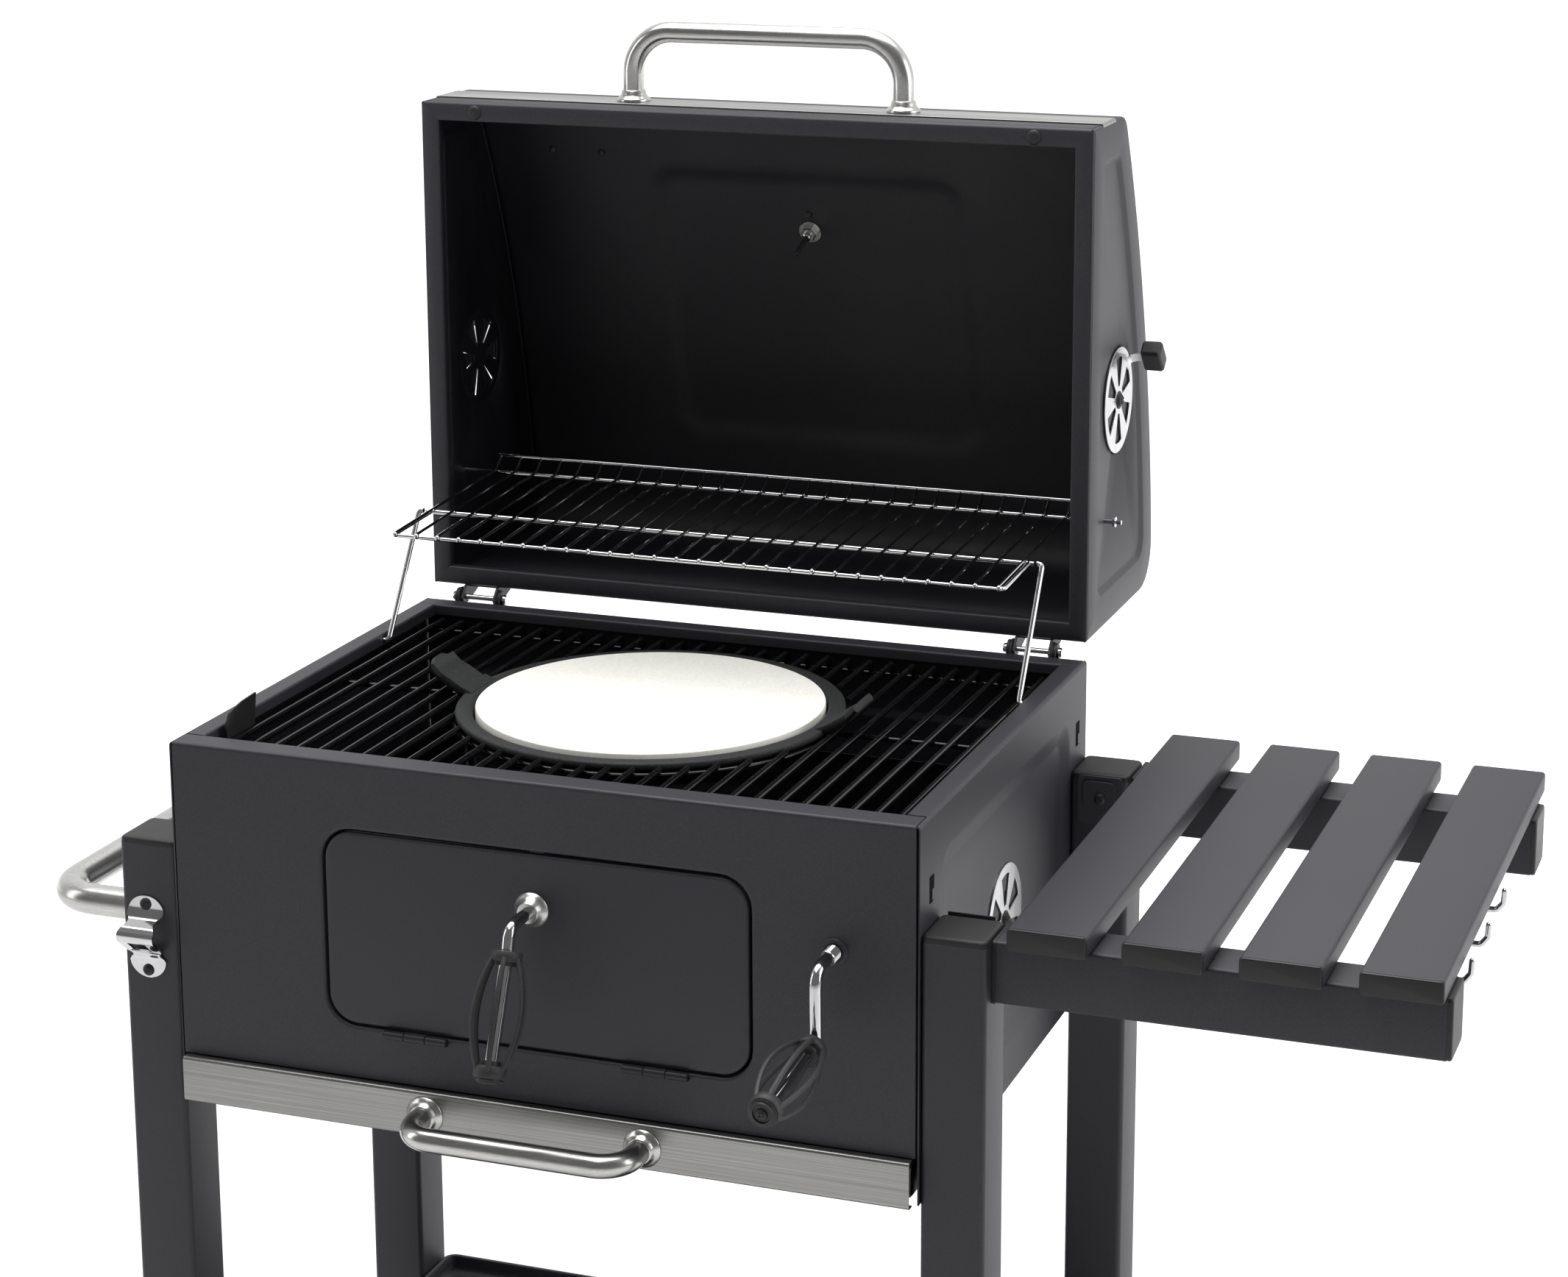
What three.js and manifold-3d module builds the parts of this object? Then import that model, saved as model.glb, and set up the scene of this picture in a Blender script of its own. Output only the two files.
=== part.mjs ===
// Hooded charcoal grill trolley. Millimetres, +Z up, +X towards the side table, front faces -Y.
// Drawn with the firebox centred on X = 0, its front panel at Y = 0 and the floor at Z = 0,
// then shifted so that the origin is the middle of the whole object's box, on the floor.
import * as THREE from 'three';
import { mergeVertices } from 'three/examples/jsm/utils/BufferGeometryUtils.js';
import Module from 'manifold-3d';

const wasm = await Module();
wasm.setup();
const V = (x, y, z) => new THREE.Vector3(x, y, z);
const GAP = 0.3;                       // clearance between separate pieces

// ---------------------------------------------------------------- driving dimensions
const RIM = 845;                       // top of the firebox rim above the floor
const BW = 310, BD = 455, BH = 297;    // firebox half width, depth, height
const T = 2;                           // sheet thickness in the firebox
const RIMW = 18;                       // width of the inward rim
const LEG = 50, LEGX = BW + GAP, LEGTOP = RIM - 83.5;
const REARY = 408;                     // front face of the rear legs
const HINGE = [464, RIM + 2];          // lid hinge axis (y, z)
const LIDY = 465, LIDX = 306.7, LIDB = RIM + 12.5, LIDT = RIM + 451;
const RACKP = [530, RIM + 104];        // rack pivot on the lid
const LEGB = [332, RIM - 5];           // foot of the rack's wire legs
const LEGTP = [LEGB[0] + RACKP[0] - HINGE[0], LEGB[1] + RACKP[1] - HINGE[1]];   // top of the wire legs
const AXLE = [336, 85];                // wheel axle (x, z)
const GRILLZ = RIM - 11;               // centre height of the cooking grate's bars
const STONE = [0, 238];                // centre of the stone (x, y)

// ---------------------------------------------------------------- helpers
function clean(g) {
  const h = g.index ? g.toNonIndexed() : g;
  const b = new THREE.BufferGeometry();
  b.setAttribute('position', h.getAttribute('position').clone());
  return mergeVertices(b, 1e-4);
}
function solid(g) {
  const c = clean(g);
  return new wasm.Manifold(new wasm.Mesh({
    numProp: 3,
    vertProperties: new Float32Array(c.getAttribute('position').array),
    triVerts: new Uint32Array(c.index.array),
  }));
}
function back(m) {
  const o = m.getMesh();
  const g = new THREE.BufferGeometry();
  g.setAttribute('position', new THREE.BufferAttribute(new Float32Array(o.vertProperties), 3));
  g.setIndex(new THREE.BufferAttribute(new Uint32Array(o.triVerts), 1));
  return g;
}
const join = (...gs) => back(wasm.Manifold.union(gs.map(solid)));
const cut = (a, ...bs) => back(solid(a).subtract(wasm.Manifold.union(bs.map(solid))));

function box(x0, x1, y0, y1, z0, z1) {
  const g = new THREE.BoxGeometry(x1 - x0, y1 - y0, z1 - z0);
  g.translate((x0 + x1) / 2, (y0 + y1) / 2, (z0 + z1) / 2);
  return g;
}
// a flat outline [u, v] pushed along one axis: 'x' takes (y, z), 'y' takes (x, z), 'z' takes (x, y)
function prism(axis, pts, a, b, holes = []) {
  const s = new THREE.Shape(pts.map(p => new THREE.Vector2(p[0], p[1])));
  for (const h of holes) s.holes.push(new THREE.Path(h.map(p => new THREE.Vector2(p[0], p[1]))));
  const g = new THREE.ExtrudeGeometry(s, { depth: b - a, bevelEnabled: false, curveSegments: 1 });
  g.translate(0, 0, a);
  const m = new THREE.Matrix4();
  if (axis === 'x') m.makeBasis(V(0, 1, 0), V(0, 0, 1), V(1, 0, 0));
  if (axis === 'y') m.makeBasis(V(1, 0, 0), V(0, 0, 1), V(0, 1, 0));
  g.applyMatrix4(m);
  if (axis === 'y') flip(g);
  return g;
}
function flip(g) {
  const p = g.getAttribute('position').array;
  if (g.index) {
    const i = g.index.array;
    for (let k = 0; k < i.length; k += 3) [i[k], i[k + 1]] = [i[k + 1], i[k]];
  } else {
    for (let k = 0; k < p.length; k += 9)
      for (let c = 0; c < 3; c++) [p[k + c], p[k + 3 + c]] = [p[k + 3 + c], p[k + c]];
  }
  return g;
}
// a round or n-sided rod along a path of points
function rod(pts, r, n = 8, closed = false, turn = 0) {
  const P = pts, N = P.length, pos = [], idx = [];
  let up = null;
  for (let i = 0; i < N; i++) {
    const a = closed ? P[(i + N - 1) % N] : P[Math.max(i - 1, 0)];
    const c = closed ? P[(i + 1) % N] : P[Math.min(i + 1, N - 1)];
    const d0 = P[i].clone().sub(a), d1 = c.clone().sub(P[i]);
    if (d0.length() < 1e-9) d0.copy(d1);
    if (d1.length() < 1e-9) d1.copy(d0);
    d0.normalize(); d1.normalize();
    const t = d0.clone().add(d1).normalize();
    const k = 1 / Math.max(0.35, d1.dot(t));
    if (!up) up = Math.abs(t.z) < 0.9 ? V(0, 0, 1) : V(0, 1, 0);
    const u = up.clone().addScaledVector(t, -up.dot(t)).normalize();
    const w = t.clone().cross(u).normalize();
    const bend = d1.clone().sub(d0);
    const bn = bend.length() > 1e-6 ? bend.normalize() : null;
    for (let j = 0; j < n; j++) {
      const q = turn + 2 * Math.PI * j / n;
      const o = u.clone().multiplyScalar(Math.cos(q) * r).addScaledVector(w, Math.sin(q) * r);
      if (bn) {
        const bp = bn.clone().addScaledVector(t, -bn.dot(t)).normalize();
        o.addScaledVector(bp, o.dot(bp) * (k - 1));
      }
      const v = P[i].clone().add(o);
      pos.push(v.x, v.y, v.z);
    }
    up = u;
  }
  const R = closed ? N : N - 1;
  for (let i = 0; i < R; i++) for (let j = 0; j < n; j++) {
    const a = i * n + j, b = i * n + (j + 1) % n, c = ((i + 1) % N) * n + j, d = ((i + 1) % N) * n + (j + 1) % n;
    idx.push(a, b, d, a, d, c);
  }
  if (!closed) {
    for (let j = 1; j < n - 1; j++) {
      idx.push(0, j + 1, j);
      const e = (N - 1) * n;
      idx.push(e, e + j, e + j + 1);
    }
  }
  const g = new THREE.BufferGeometry();
  g.setAttribute('position', new THREE.BufferAttribute(new Float32Array(pos), 3));
  g.setIndex(idx);
  if (solid(g).volume() < 0) flip(g);
  return g;
}
// straight corners rounded with radius r, m steps each
function bend(pts, r, m = 4) {
  const out = [pts[0].clone()];
  for (let i = 1; i < pts.length - 1; i++) {
    const p = pts[i], a = pts[i - 1].clone().sub(p).normalize(), b = pts[i + 1].clone().sub(p).normalize();
    const ang = Math.acos(Math.min(1, Math.max(-1, a.dot(b))));
    if (ang > Math.PI - 1e-3) continue;
    const R = Array.isArray(r) ? r[i] : r, d = R / Math.tan(ang / 2);
    const c = p.clone().addScaledVector(a.clone().add(b).normalize(), R / Math.sin(ang / 2));
    const s = p.clone().addScaledVector(a, d).sub(c), e = p.clone().addScaledVector(b, d).sub(c);
    const w = Math.acos(Math.min(1, Math.max(-1, s.dot(e) / (R * R))));
    for (let k = 0; k <= m; k++) {
      const f = k / m;
      out.push(c.clone().addScaledVector(s, Math.sin((1 - f) * w) / Math.sin(w)).addScaledVector(e, Math.sin(f * w) / Math.sin(w)));
    }
  }
  out.push(pts[pts.length - 1].clone());
  return out;
}
const bend2 = (pts, radii, m = 4) => {
  let out = [pts[0]];
  for (let i = 1; i < pts.length - 1; i++) {
    const r = radii[i] || 0;
    if (!r) { out.push(pts[i]); continue; }
    const q = bend([V(pts[i - 1][0], pts[i - 1][1], 0), V(pts[i][0], pts[i][1], 0), V(pts[i + 1][0], pts[i + 1][1], 0)], r, m);
    out = out.concat(q.slice(1, -1).map(v => [v.x, v.y]));
  }
  out.push(pts[pts.length - 1]);
  return out;
};
// a strip of even thickness along an open outline (thickness to the left of travel)
function strip2(pts, t) {
  const n = pts.length, inner = [];
  for (let i = 0; i < n; i++) {
    const a = pts[Math.max(i - 1, 0)], b = pts[i], c = pts[Math.min(i + 1, n - 1)];
    let d0 = [b[0] - a[0], b[1] - a[1]], d1 = [c[0] - b[0], c[1] - b[1]];
    if (i === 0) d0 = d1;
    if (i === n - 1) d1 = d0;
    const l0 = Math.hypot(...d0), l1 = Math.hypot(...d1);
    const n0 = [-d0[1] / l0, d0[0] / l0], n1 = [-d1[1] / l1, d1[0] / l1];
    const s = [n0[0] + n1[0], n0[1] + n1[1]], q = 2 / (s[0] * s[0] + s[1] * s[1]);
    inner.push([b[0] + s[0] * q * t, b[1] + s[1] * q * t]);
  }
  return pts.concat(inner.reverse());
}
const ring = (c, r, n, a0 = 0) => Array.from({ length: n }, (_, k) => {
  const a = a0 + 2 * Math.PI * k / n;
  return [c[0] + r * Math.cos(a), c[1] + r * Math.sin(a)];
});
function roundRect(u0, u1, v0, v1, r, m = 4) {
  const out = [];
  for (const [cu, cv, a] of [[u1 - r, v1 - r, 0], [u0 + r, v1 - r, 90], [u0 + r, v0 + r, 180], [u1 - r, v0 + r, 270]])
    for (let k = 0; k <= m; k++) {
      const q = (a + 90 * k / m) * Math.PI / 180;
      out.push([cu + r * Math.cos(q), cv + r * Math.sin(q)]);
    }
  return out;
}
// a turned shape: outline [radius, height] about an axis through c
function turned(axis, prof, c, n = 16) {
  const g = new THREE.LatheGeometry(prof.concat([prof[0]]).map(p => new THREE.Vector2(Math.max(p[0], 0), p[1])), n);
  const m = new THREE.Matrix4();
  if (axis === 'x') m.makeBasis(V(0, 1, 0), V(1, 0, 0), V(0, 0, -1));
  if (axis === 'y') m.makeBasis(V(1, 0, 0), V(0, 1, 0), V(0, 0, 1));
  if (axis === 'z') m.makeBasis(V(1, 0, 0), V(0, 0, 1), V(0, -1, 0));
  g.applyMatrix4(m);
  g.translate(...c);
  const q = degenerate(g);
  if (solid(q).volume() < 0) flip(q);
  return q;
}
function degenerate(g) {
  const c = clean(g), i = c.index.array, keep = [];
  for (let k = 0; k < i.length; k += 3) if (i[k] !== i[k + 1] && i[k + 1] !== i[k + 2] && i[k] !== i[k + 2]) keep.push(i[k], i[k + 1], i[k + 2]);
  c.setIndex(keep);
  return c;
}
const disc = (axis, c, r, h, n = 16) => turned(axis, [[0, 0], [r, 0], [r, h], [0, h]], c, n);
const xzcyl = (x, z, r, y0, y1, n = 12) => prism('y', ring([x, z], r, n, Math.PI / n), y0, y1);
const yzcyl = (y, z, r, x0, x1, n = 12) => prism('x', ring([y, z], r, n, Math.PI / n), x0, x1);

// ---------------------------------------------------------------- materials and nodes
const mat = (name, color, metalness, roughness) => Object.assign(new THREE.MeshStandardMaterial({ color, metalness, roughness }), { name });
const M = {
  paint: mat('powder_coat', 0x3a3a3e, 0.3, 0.6),
  inner: mat('lid_black', 0x18181a, 0.3, 0.6),
  steel: mat('brushed_stainless', 0xb8b8b4, 0.9, 0.35),
  satin: mat('satin_stainless', 0xc4c3be, 0.9, 0.3),
  chrome: mat('chrome', 0xd8d8da, 1, 0.08),
  enamel: mat('black_enamel', 0x0c0c0e, 0.2, 0.2),
  iron: mat('cast_iron', 0x2a2b2b, 0.4, 0.8),
  stone: mat('stone', 0xe9e7dc, 0, 0.9),
  plastic: mat('black_plastic', 0x161618, 0, 0.5),
  grip: mat('grip_rubber', 0x333336, 0, 0.6),
  tyre: mat('tyre', 0x161616, 0, 0.8),
};
const root = new THREE.Group();
root.name = 'charcoal_grill_trolley';
function add(name, g, m) {
  const c = clean(g);
  c.computeVertexNormals();
  const o = new THREE.Mesh(c, m);
  o.name = name;
  root.add(o);
}
const both = f => { f('left', -1); f('right', 1); };
// mirror a shape drawn for +X when s is -1
function side(g, s) {
  if (s > 0) return g;
  g.scale(-1, 1, 1);
  return flip(g);
}

// ---------------------------------------------------------------- legs, caps, feet
function tubeZ(x0, x1, y0, y1, z0, z1, t) {
  return prism('z', [[x0, y0], [x1, y0], [x1, y1], [x0, y1]], z0, z1, [[[x0 + t, y0 + t], [x0 + t, y1 - t], [x1 - t, y1 - t], [x1 - t, y0 + t]]]);
}
for (const [fb, y0] of [['front', 0], ['rear', REARY]]) {
  const a = -LEGX - LEG, b = -LEGX, y1 = y0 + LEG;
  add(`leg_${fb}_left`, tubeZ(a, b, y0, y1, 14, LEGTOP - 5, 2), M.paint);
  add(`leg_${fb}_right`, cut(tubeZ(-b, -a, y0, y1, 60, LEGTOP - 5, 2), xzcyl(...AXLE, 5.4, y0 - 5, y1 + 5)), M.paint);
  for (const [lr, x0] of [['left', a], ['right', -b]]) {
    const lo = roundRect(x0, x0 + LEG, y0, y1, 4, 2), hi = roundRect(x0 + 1.6, x0 + LEG - 1.6, y0 + 1.6, y1 - 1.6, 4, 2);
    add(`leg_cap_${fb}_${lr}`, loft(lo, hi, LEGTOP - 5 + GAP, LEGTOP - 1.6, LEGTOP), M.plastic);
  }
  add(`foot_${fb}_left`, loft(roundRect(a - 1, b, y0 - 1, y1 + 1, 4, 2), roundRect(a, b - 1, y0, y1, 4, 2), 14 - GAP, 2, 0), M.plastic);
}
// straight part from z0 to z1 with outline lo, then narrowing to hi at z2
function loft(lo, hi, z0, z1, z2) {
  const n = lo.length, pos = [], idx = [];
  for (const [o, z] of [[lo, z0], [lo, z1], [hi, z2]]) for (const p of o) pos.push(p[0], p[1], z);
  for (let l = 0; l < 2; l++) for (let j = 0; j < n; j++) {
    const a = l * n + j, b = l * n + (j + 1) % n, c = a + n, d = b + n;
    idx.push(a, b, d, a, d, c);
  }
  for (let j = 1; j < n - 1; j++) { idx.push(0, j + 1, j); idx.push(2 * n, 2 * n + j, 2 * n + j + 1); }
  const g = new THREE.BufferGeometry();
  g.setAttribute('position', new THREE.BufferAttribute(new Float32Array(pos), 3));
  g.setIndex(idx);
  if (solid(g).volume() < 0) flip(g);
  return g;
}

// ---------------------------------------------------------------- bottom shelf, axle, wheels
const SHZ = 200;
add('bottom_shelf', cut(box(-309.6, 309.6, -1, 461, SHZ - 17, SHZ), box(-307.6, 307.6, 1, 459, SHZ - 15, SHZ + 5)), M.paint);
add('wheel_axle', xzcyl(...AXLE, 5, -43, 501), M.chrome);
const wheelProf = h => [[5.4, 0], [22, 0], [24, 6], [68, 6], [72, 0], [83, 0], [85, 3], [85, h - 3], [83, h], [72, h], [68, h - 6], [24, h - 6], [22, h], [5.4, h]];
add('wheel_front', turned('y', wheelProf(32), [AXLE[0], -39, AXLE[1]], 20), M.tyre);
add('wheel_rear', turned('y', wheelProf(32), [AXLE[0], 465, AXLE[1]], 20), M.tyre);

// ---------------------------------------------------------------- firebox
const FT = RIM, FLANGE = 21;
{
  const door = roundRect(-179, 179, RIM - 217, RIM - 54, 26);
  add('firebox_front', join(
    prism('y', [[-307, RIM - 259], [307, RIM - 259], [307, FT], [-307, FT]], -T, 0, [door.reverse(), ring([244, RIM - 103.8], 7.5, 12).reverse()]),
    box(-307, 307, -T, FLANGE, FT - T, FT), box(-307, 307, -T, 9, RIM - 259, RIM - 257)), M.paint);
}
// turn offsets the wall's openings from the disc's, so that the vents are shut at rest
function ventCuts(c, x0, x1, r0, r1, turn = 0) {
  return Array.from({ length: 6 }, (_, k) => {
    const a = Math.PI / 3 * k + Math.PI / 6 + turn, w = 0.27;
    const p = (r, q) => [c[0] + r * Math.cos(q), c[1] + r * Math.sin(q)];
    return prism('x', [p(r0, a - w * 0.75), p(r1, a - w), p(r1 * 1.02, a), p(r1, a + w), p(r0, a + w * 0.75)], x0, x1);
  });
}
const FVENT = [BD / 2, RIM - 152.5], LVENT = [565, RIM + 204];
both((lr, s) => {
  // wall, top rim, lip under the rim's edge, ledge for the grate, bottom runner for the drawer
  const prof = [[BW - T, RIM - BH + T], [300, RIM - BH + T], [300, RIM - BH], [BW, RIM - BH], [BW, FT], [BW - RIMW, FT], [BW - RIMW, FT - 9],
    [BW - RIMW + T, FT - 9], [BW - RIMW + T, FT - T], [BW - T, FT - T], [BW - T, RIM - 24], [276, RIM - 24], [276, RIM - 26], [BW - T, RIM - 26]];
  const slot = (y0, y1) => box(BW - 5, BW + 5, y0, y1, RIM - 68, RIM - 47);
  add(`firebox_side_${lr}`, side(cut(prism('y', prof, -T, BD),
    box(200, BW - T - GAP, -10, FLANGE + GAP, RIM - 10, FT + 5), box(200, BW - T - 0.01, BD - 22, BD + 5, RIM - 12, FT + 5), box(200, BW - T - 0.01, BD - T - GAP, BD + 5, RIM - 400, RIM),
    box(200, BW - T - 0.01, -10, GAP, RIM - 400, RIM),
    slot(22, 32), slot(423, 433), yzcyl(...LEGB, 2.8, 280, 300), ...ventCuts(FVENT, BW - 10, BW + 5, 12, 38, Math.PI / 6)), s), M.paint);
});
add('firebox_rear', join(
  box(-307.4, 307.4, BD - T, BD, RIM - BH, FT), box(-307.4, 307.4, BD - RIMW - 1, BD, FT - T, FT),
  box(-291.7, 291.7, BD - RIMW - 1, BD - RIMW + 1, FT - 9, FT)), M.paint);

// ---------------------------------------------------------------- coal pan, cooking grate, stone
const PAN = { x0: -262, x1: 226, y0: 34, y1: 428, z0: RIM - 152, z1: RIM - 96 };
{
  const { x0, x1, y0, y1, z0, z1 } = PAN;
  const slots = [];
  for (let i = 0; i < 5; i++) for (let j = 0; j < 2; j++) slots.push(box(x0 + 40 + i * 86, x0 + 48 + i * 86 + 50, y0 + 60 + j * 150, y0 + 72 + j * 150 + 60, z0 - 5, z0 + 5));
  add('coal_pan', cut(box(x0, x1, y0, y1, z0, z1), box(x0 + 2, x1 - 2, y0 + 2, y1 - 2, z0 + 2, z1 + 5), ...slots), M.enamel);
}
const NB = 30, PITCH = 19.3, BARX = k => (k - (NB - 1) / 2) * PITCH;
const GY0 = 24, GY1 = 433, RINGR = 161;
{
  const parts = [], h = 2.7, z = GRILLZ;
  const inRing = x => Math.sqrt(Math.max(0, (RINGR + 0.5) ** 2 - Math.max(0, Math.abs(x) - h) ** 2));
  const bar = (x, pts) => prism('x', pts, x - h, x + h);
  for (let k = 0; k < NB; k++) {
    const x = BARX(k), c = inRing(x), a = STONE[1] - c, b = STONE[1] + c;
    const front = [[GY0, z - 11], [GY0 + 2 * h, z - 11], [GY0 + 2 * h, z - h]], rear = [[GY1 - 2 * h, z - h], [GY1 - 2 * h, z - 11], [GY1, z - 11]];
    if (Math.abs(x) < RINGR - 3) {
      parts.push(bar(x, [...front, [a, z - h], [a, z + h], [GY0, z + h]]));
      parts.push(bar(x, [[b, z - h], ...rear, [GY1, z + h], [b, z + h]]));
    } else parts.push(bar(x, [...front, ...rear, [GY1, z + h], [GY0, z + h]]));
  }
  for (const y of [GY0 + h, GY1 - h]) parts.push(box(BARX(0) - 5, BARX(NB - 1) + 5, y - h, y + h, z - 12.5, z - 9));
  parts.push(rod(ring(STONE, RINGR, 36, Math.PI / 36).map(p => V(p[0], p[1], z - 4.6)), 3.4, 4, true, Math.PI / 4));
  // bent lifting tab on the first bar
  parts.push(box(BARX(0) - 6, BARX(0) + 2, 44, 90, z - 2.4, z + 1.6));
  parts.push(prism('x', [[47, z], [45, z + 10], [50, z + 20], [66, z + 28], [88, z + 31], [89, z + 29.5], [89, z]], BARX(0) - 6, BARX(0) - 4.4));
  add('cooking_grate', join(...parts), M.enamel);
}
{
  const top = RIM - 6.5;
  const pan = turned('z', [[0, top - 22], [152, top - 22], [155, top - 6.4], [160, top - 6.4], [160, top], [145, top], [145, top - 16], [0, top - 16]], [...STONE, 0], 40);
  const handle = s => side(prism('y', [[150, top - 4], [156, top - 3], [159, top - 0.5], [186, top + 17], [192, top + 23], [189, top + 27], [183, top + 25], [152, top]], STONE[1] - 12 - 21, STONE[1] - 12 + 21), s);
  add('stone_carrier', join(pan, handle(1), handle(-1)), M.iron);
  add('pizza_stone', disc('z', [...STONE, top - 16 + GAP], 143.6, 18.8 - GAP, 40), M.stone);
}

// ---------------------------------------------------------------- lid
const arcY = z => -359 + Math.sqrt(1050 * 1050 - (z + 39.2) ** 2);
const lidLine = (() => {
  const b = LIDB - RIM, t = LIDT - RIM, raw = [[LIDY, b], [arcY(b), b]], rad = [0, 33];
  for (const z of [75, 140, 205, 265, 320, 370, 415]) { raw.push([arcY(z), z]); rad.push(0); }
  raw.push([arcY(t), t], [LIDY, t]); rad.push(20, 0);
  return bend2(raw, rad, 4).map(p => [p[0], p[1] + RIM]);
})();
add('lid_skin', prism('x', strip2([[LIDY, LIDB + 16.4], ...lidLine, [LIDY, LIDT - 16.4]], T), -LIDX + T + GAP, LIDX - T - GAP), M.paint);
both((lr, s) => {
  add(`lid_side_${lr}`, side(cut(join(
    prism('x', lidLine, LIDX - T, LIDX),
    box(LIDX - 16.4, LIDX - 0.5, LIDY, LIDY + T, LIDB + 16.4 + GAP, LIDT - 16.4 - GAP)),
    yzcyl(...RACKP, 3.5, LIDX - 6, LIDX + 5), box(LIDX - 9, LIDX + 5, 494, 536.5, LIDT - 10, LIDT + 5),
    ...ventCuts(LVENT, LIDX - 6, LIDX + 5, 12, 38, Math.PI / 6)), s), M.paint);
});
// stainless strip along the lid's front edge, its ends folded down into the side notches
add('lid_strip', prism('y', strip2(bend2([[-LIDX + 0.2, LIDT - 9.5], [-LIDX + 0.2, LIDT + 1.5], [LIDX - 0.2, LIDT + 1.5], [LIDX - 0.2, LIDT - 9.5]], [0, 1.6, 1.6, 0], 2), -1.2), 495, 535.5), M.steel);
function uHandle(base, up, out, r, R, ferr, fh, half) {
  // base(x) gives the foot of each post; up is the outward direction
  const a = base(-half), b = base(half), p = q => q.clone().addScaledVector(up, out);
  const foot = q => {
    const g = new THREE.CylinderGeometry(ferr - 4, ferr, fh, 12);
    g.applyQuaternion(new THREE.Quaternion().setFromUnitVectors(V(0, 1, 0), up));
    const c = q.clone().addScaledVector(up, fh / 2);
    g.translate(c.x, c.y, c.z);
    return g;
  };
  return join(rod(bend([a, p(a), p(b), b], R, 4), r, 10), foot(a), foot(b));
}
add('lid_handle', uHandle(x => V(x, 516, LIDT + 1.5 + GAP), V(0, 0, 1), 61.5, 9, 34, 14.5, 9, 124.5), M.satin);
function ventDisc(c, x0, knobDir) {
  // a six-slotted disc with a bent tab that carries a square knob, drawn on the +X side
  const k = [c[0] + knobDir[0] * 44, c[1] + knobDir[1] * 44];
  const tab = [k[0] - 5, k[0] + 5, k[1] - 5, k[1] + 5];
  return join(cut(prism('x', ring(c, 46.3, 24), x0, x0 + 1.6), ...ventCuts(c, x0 - 5, x0 + 5, 13, 38)),
    yzcyl(...c, 6, x0, x0 + 5, 8), box(x0, x0 + 16, tab[0], tab[1], k[1] - 1, k[1] + 1), box(x0 + 12, x0 + 32, k[0] - 9, k[0] + 9, k[1] - 6.5, k[1] + 6.5));
}
both((lr, s) => {
  add(`lid_vent_${lr}`, side(ventDisc(LVENT, LIDX + GAP, [0.72, 0.69]), s), M.chrome);
  add(`firebox_vent_${lr}`, side(ventDisc(FVENT, BW + GAP, [-0.75, -0.66]), s), M.chrome);
});
{
  const z = 326, n = V(0, arcY(z) + 359, z + 39.2).normalize(), o = V(0, arcY(z), RIM + z);
  const q = new THREE.Quaternion().setFromUnitVectors(V(0, 1, 0), n);
  const pc = (r, a, b, m) => { const g = new THREE.CylinderGeometry(r, r, b - a, m); g.translate(0, (a + b) / 2, 0); g.applyQuaternion(q); g.translate(o.x, o.y, o.z); return g; };
  add('thermometer', join(pc(30, 1.5, 13, 28), pc(4, -9, 3, 10), pc(2.6, -42, -8, 8)), M.satin);
  // clearance hole through the lid skin for the stem
  const skin = root.getObjectByName('lid_skin');
  skin.geometry = clean(cut(skin.geometry, pc(5, -12, 8, 10)));
  skin.geometry.computeVertexNormals();
}
both((lr, s) => {
  const [hy, hz] = HINGE;
  const ear = (x0, x1) => prism('x', [[BD + 0.4, RIM - 36], [BD + 4, RIM - 36], [hy + 7, hz - 6], ...Array.from({ length: 7 }, (_, k) => [hy + 7 * Math.cos(Math.PI * k / 6), hz + 7 * Math.sin(Math.PI * k / 6)]), [hy - 7, hz - 4], [BD + 0.4, RIM - 8]], x0, x1);
  add(`hinge_bracket_${lr}`, side(join(box(238, 282, BD + 0.4, BD + 2.4, RIM - 36, RIM - 10), ear(238, 240.5), ear(279.5, 282), yzcyl(hy, hz, 2.5, 235, 285)), s), M.paint);
  const lear = (x0, x1) => prism('x', [[hy - 7, hz + 1], ...Array.from({ length: 6 }, (_, k) => [hy + 7 * Math.cos(Math.PI + Math.PI * k / 7), hz + 7 * Math.sin(Math.PI + Math.PI * k / 7)]), [hy + 8, hz - 3], [hy + 46, LIDB - 2], [hy + 46, LIDB - GAP], [hy + 1, LIDB - GAP]], x0, x1, [ring([hy, hz], 2.9, 12, Math.PI / 12).reverse()]);
  add(`lid_hinge_ear_${lr}`, side(join(box(243, 277, hy + 4, hy + 46, LIDB - 2.2, LIDB - GAP), lear(243, 245.5), lear(274.5, 277)), s), M.paint);
});

// ---------------------------------------------------------------- warming rack and its wire legs
{
  const parts = [], n = 28, x = k => (k - (n - 1) / 2) * 20.1, zr = RACKP[1], [ty, tz] = LEGTP;
  const fy = 324, tilt = (zr - tz) / (RACKP[0] - ty), top = y => zr - (RACKP[0] - y) * tilt + 2.8;
  const bar = strip2([[fy - 2, top(fy - 2) - 1.4], [RACKP[0] + 2, top(RACKP[0] + 2) - 1.4], [RACKP[0] + 11, zr + 17]], 2.8);
  for (let k = 0; k < n; k++) parts.push(prism('x', bar, x(k) - 1.4, x(k) + 1.4));
  const wire = (y, z, half) => box(-half, half, y - 2, y + 2, z - 2, z + 2);
  parts.push(wire(fy, top(fy) - 3.2, 275), wire(ty, top(ty) - 3.2, 279), wire(RACKP[0], zr, LIDX + 12), wire(RACKP[0] + 10.5, zr + 14, 273.5));
  add('warming_rack', join(...parts), M.chrome);
}
both((lr, s) => add(`rack_leg_${lr}`, side(rod(bend([V(297, ...LEGB), V(286, ...LEGB), V(286, ...LEGTP), V(281.5, ...LEGTP)], 4, 3), 2.2, 8), s), M.chrome));

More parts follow.
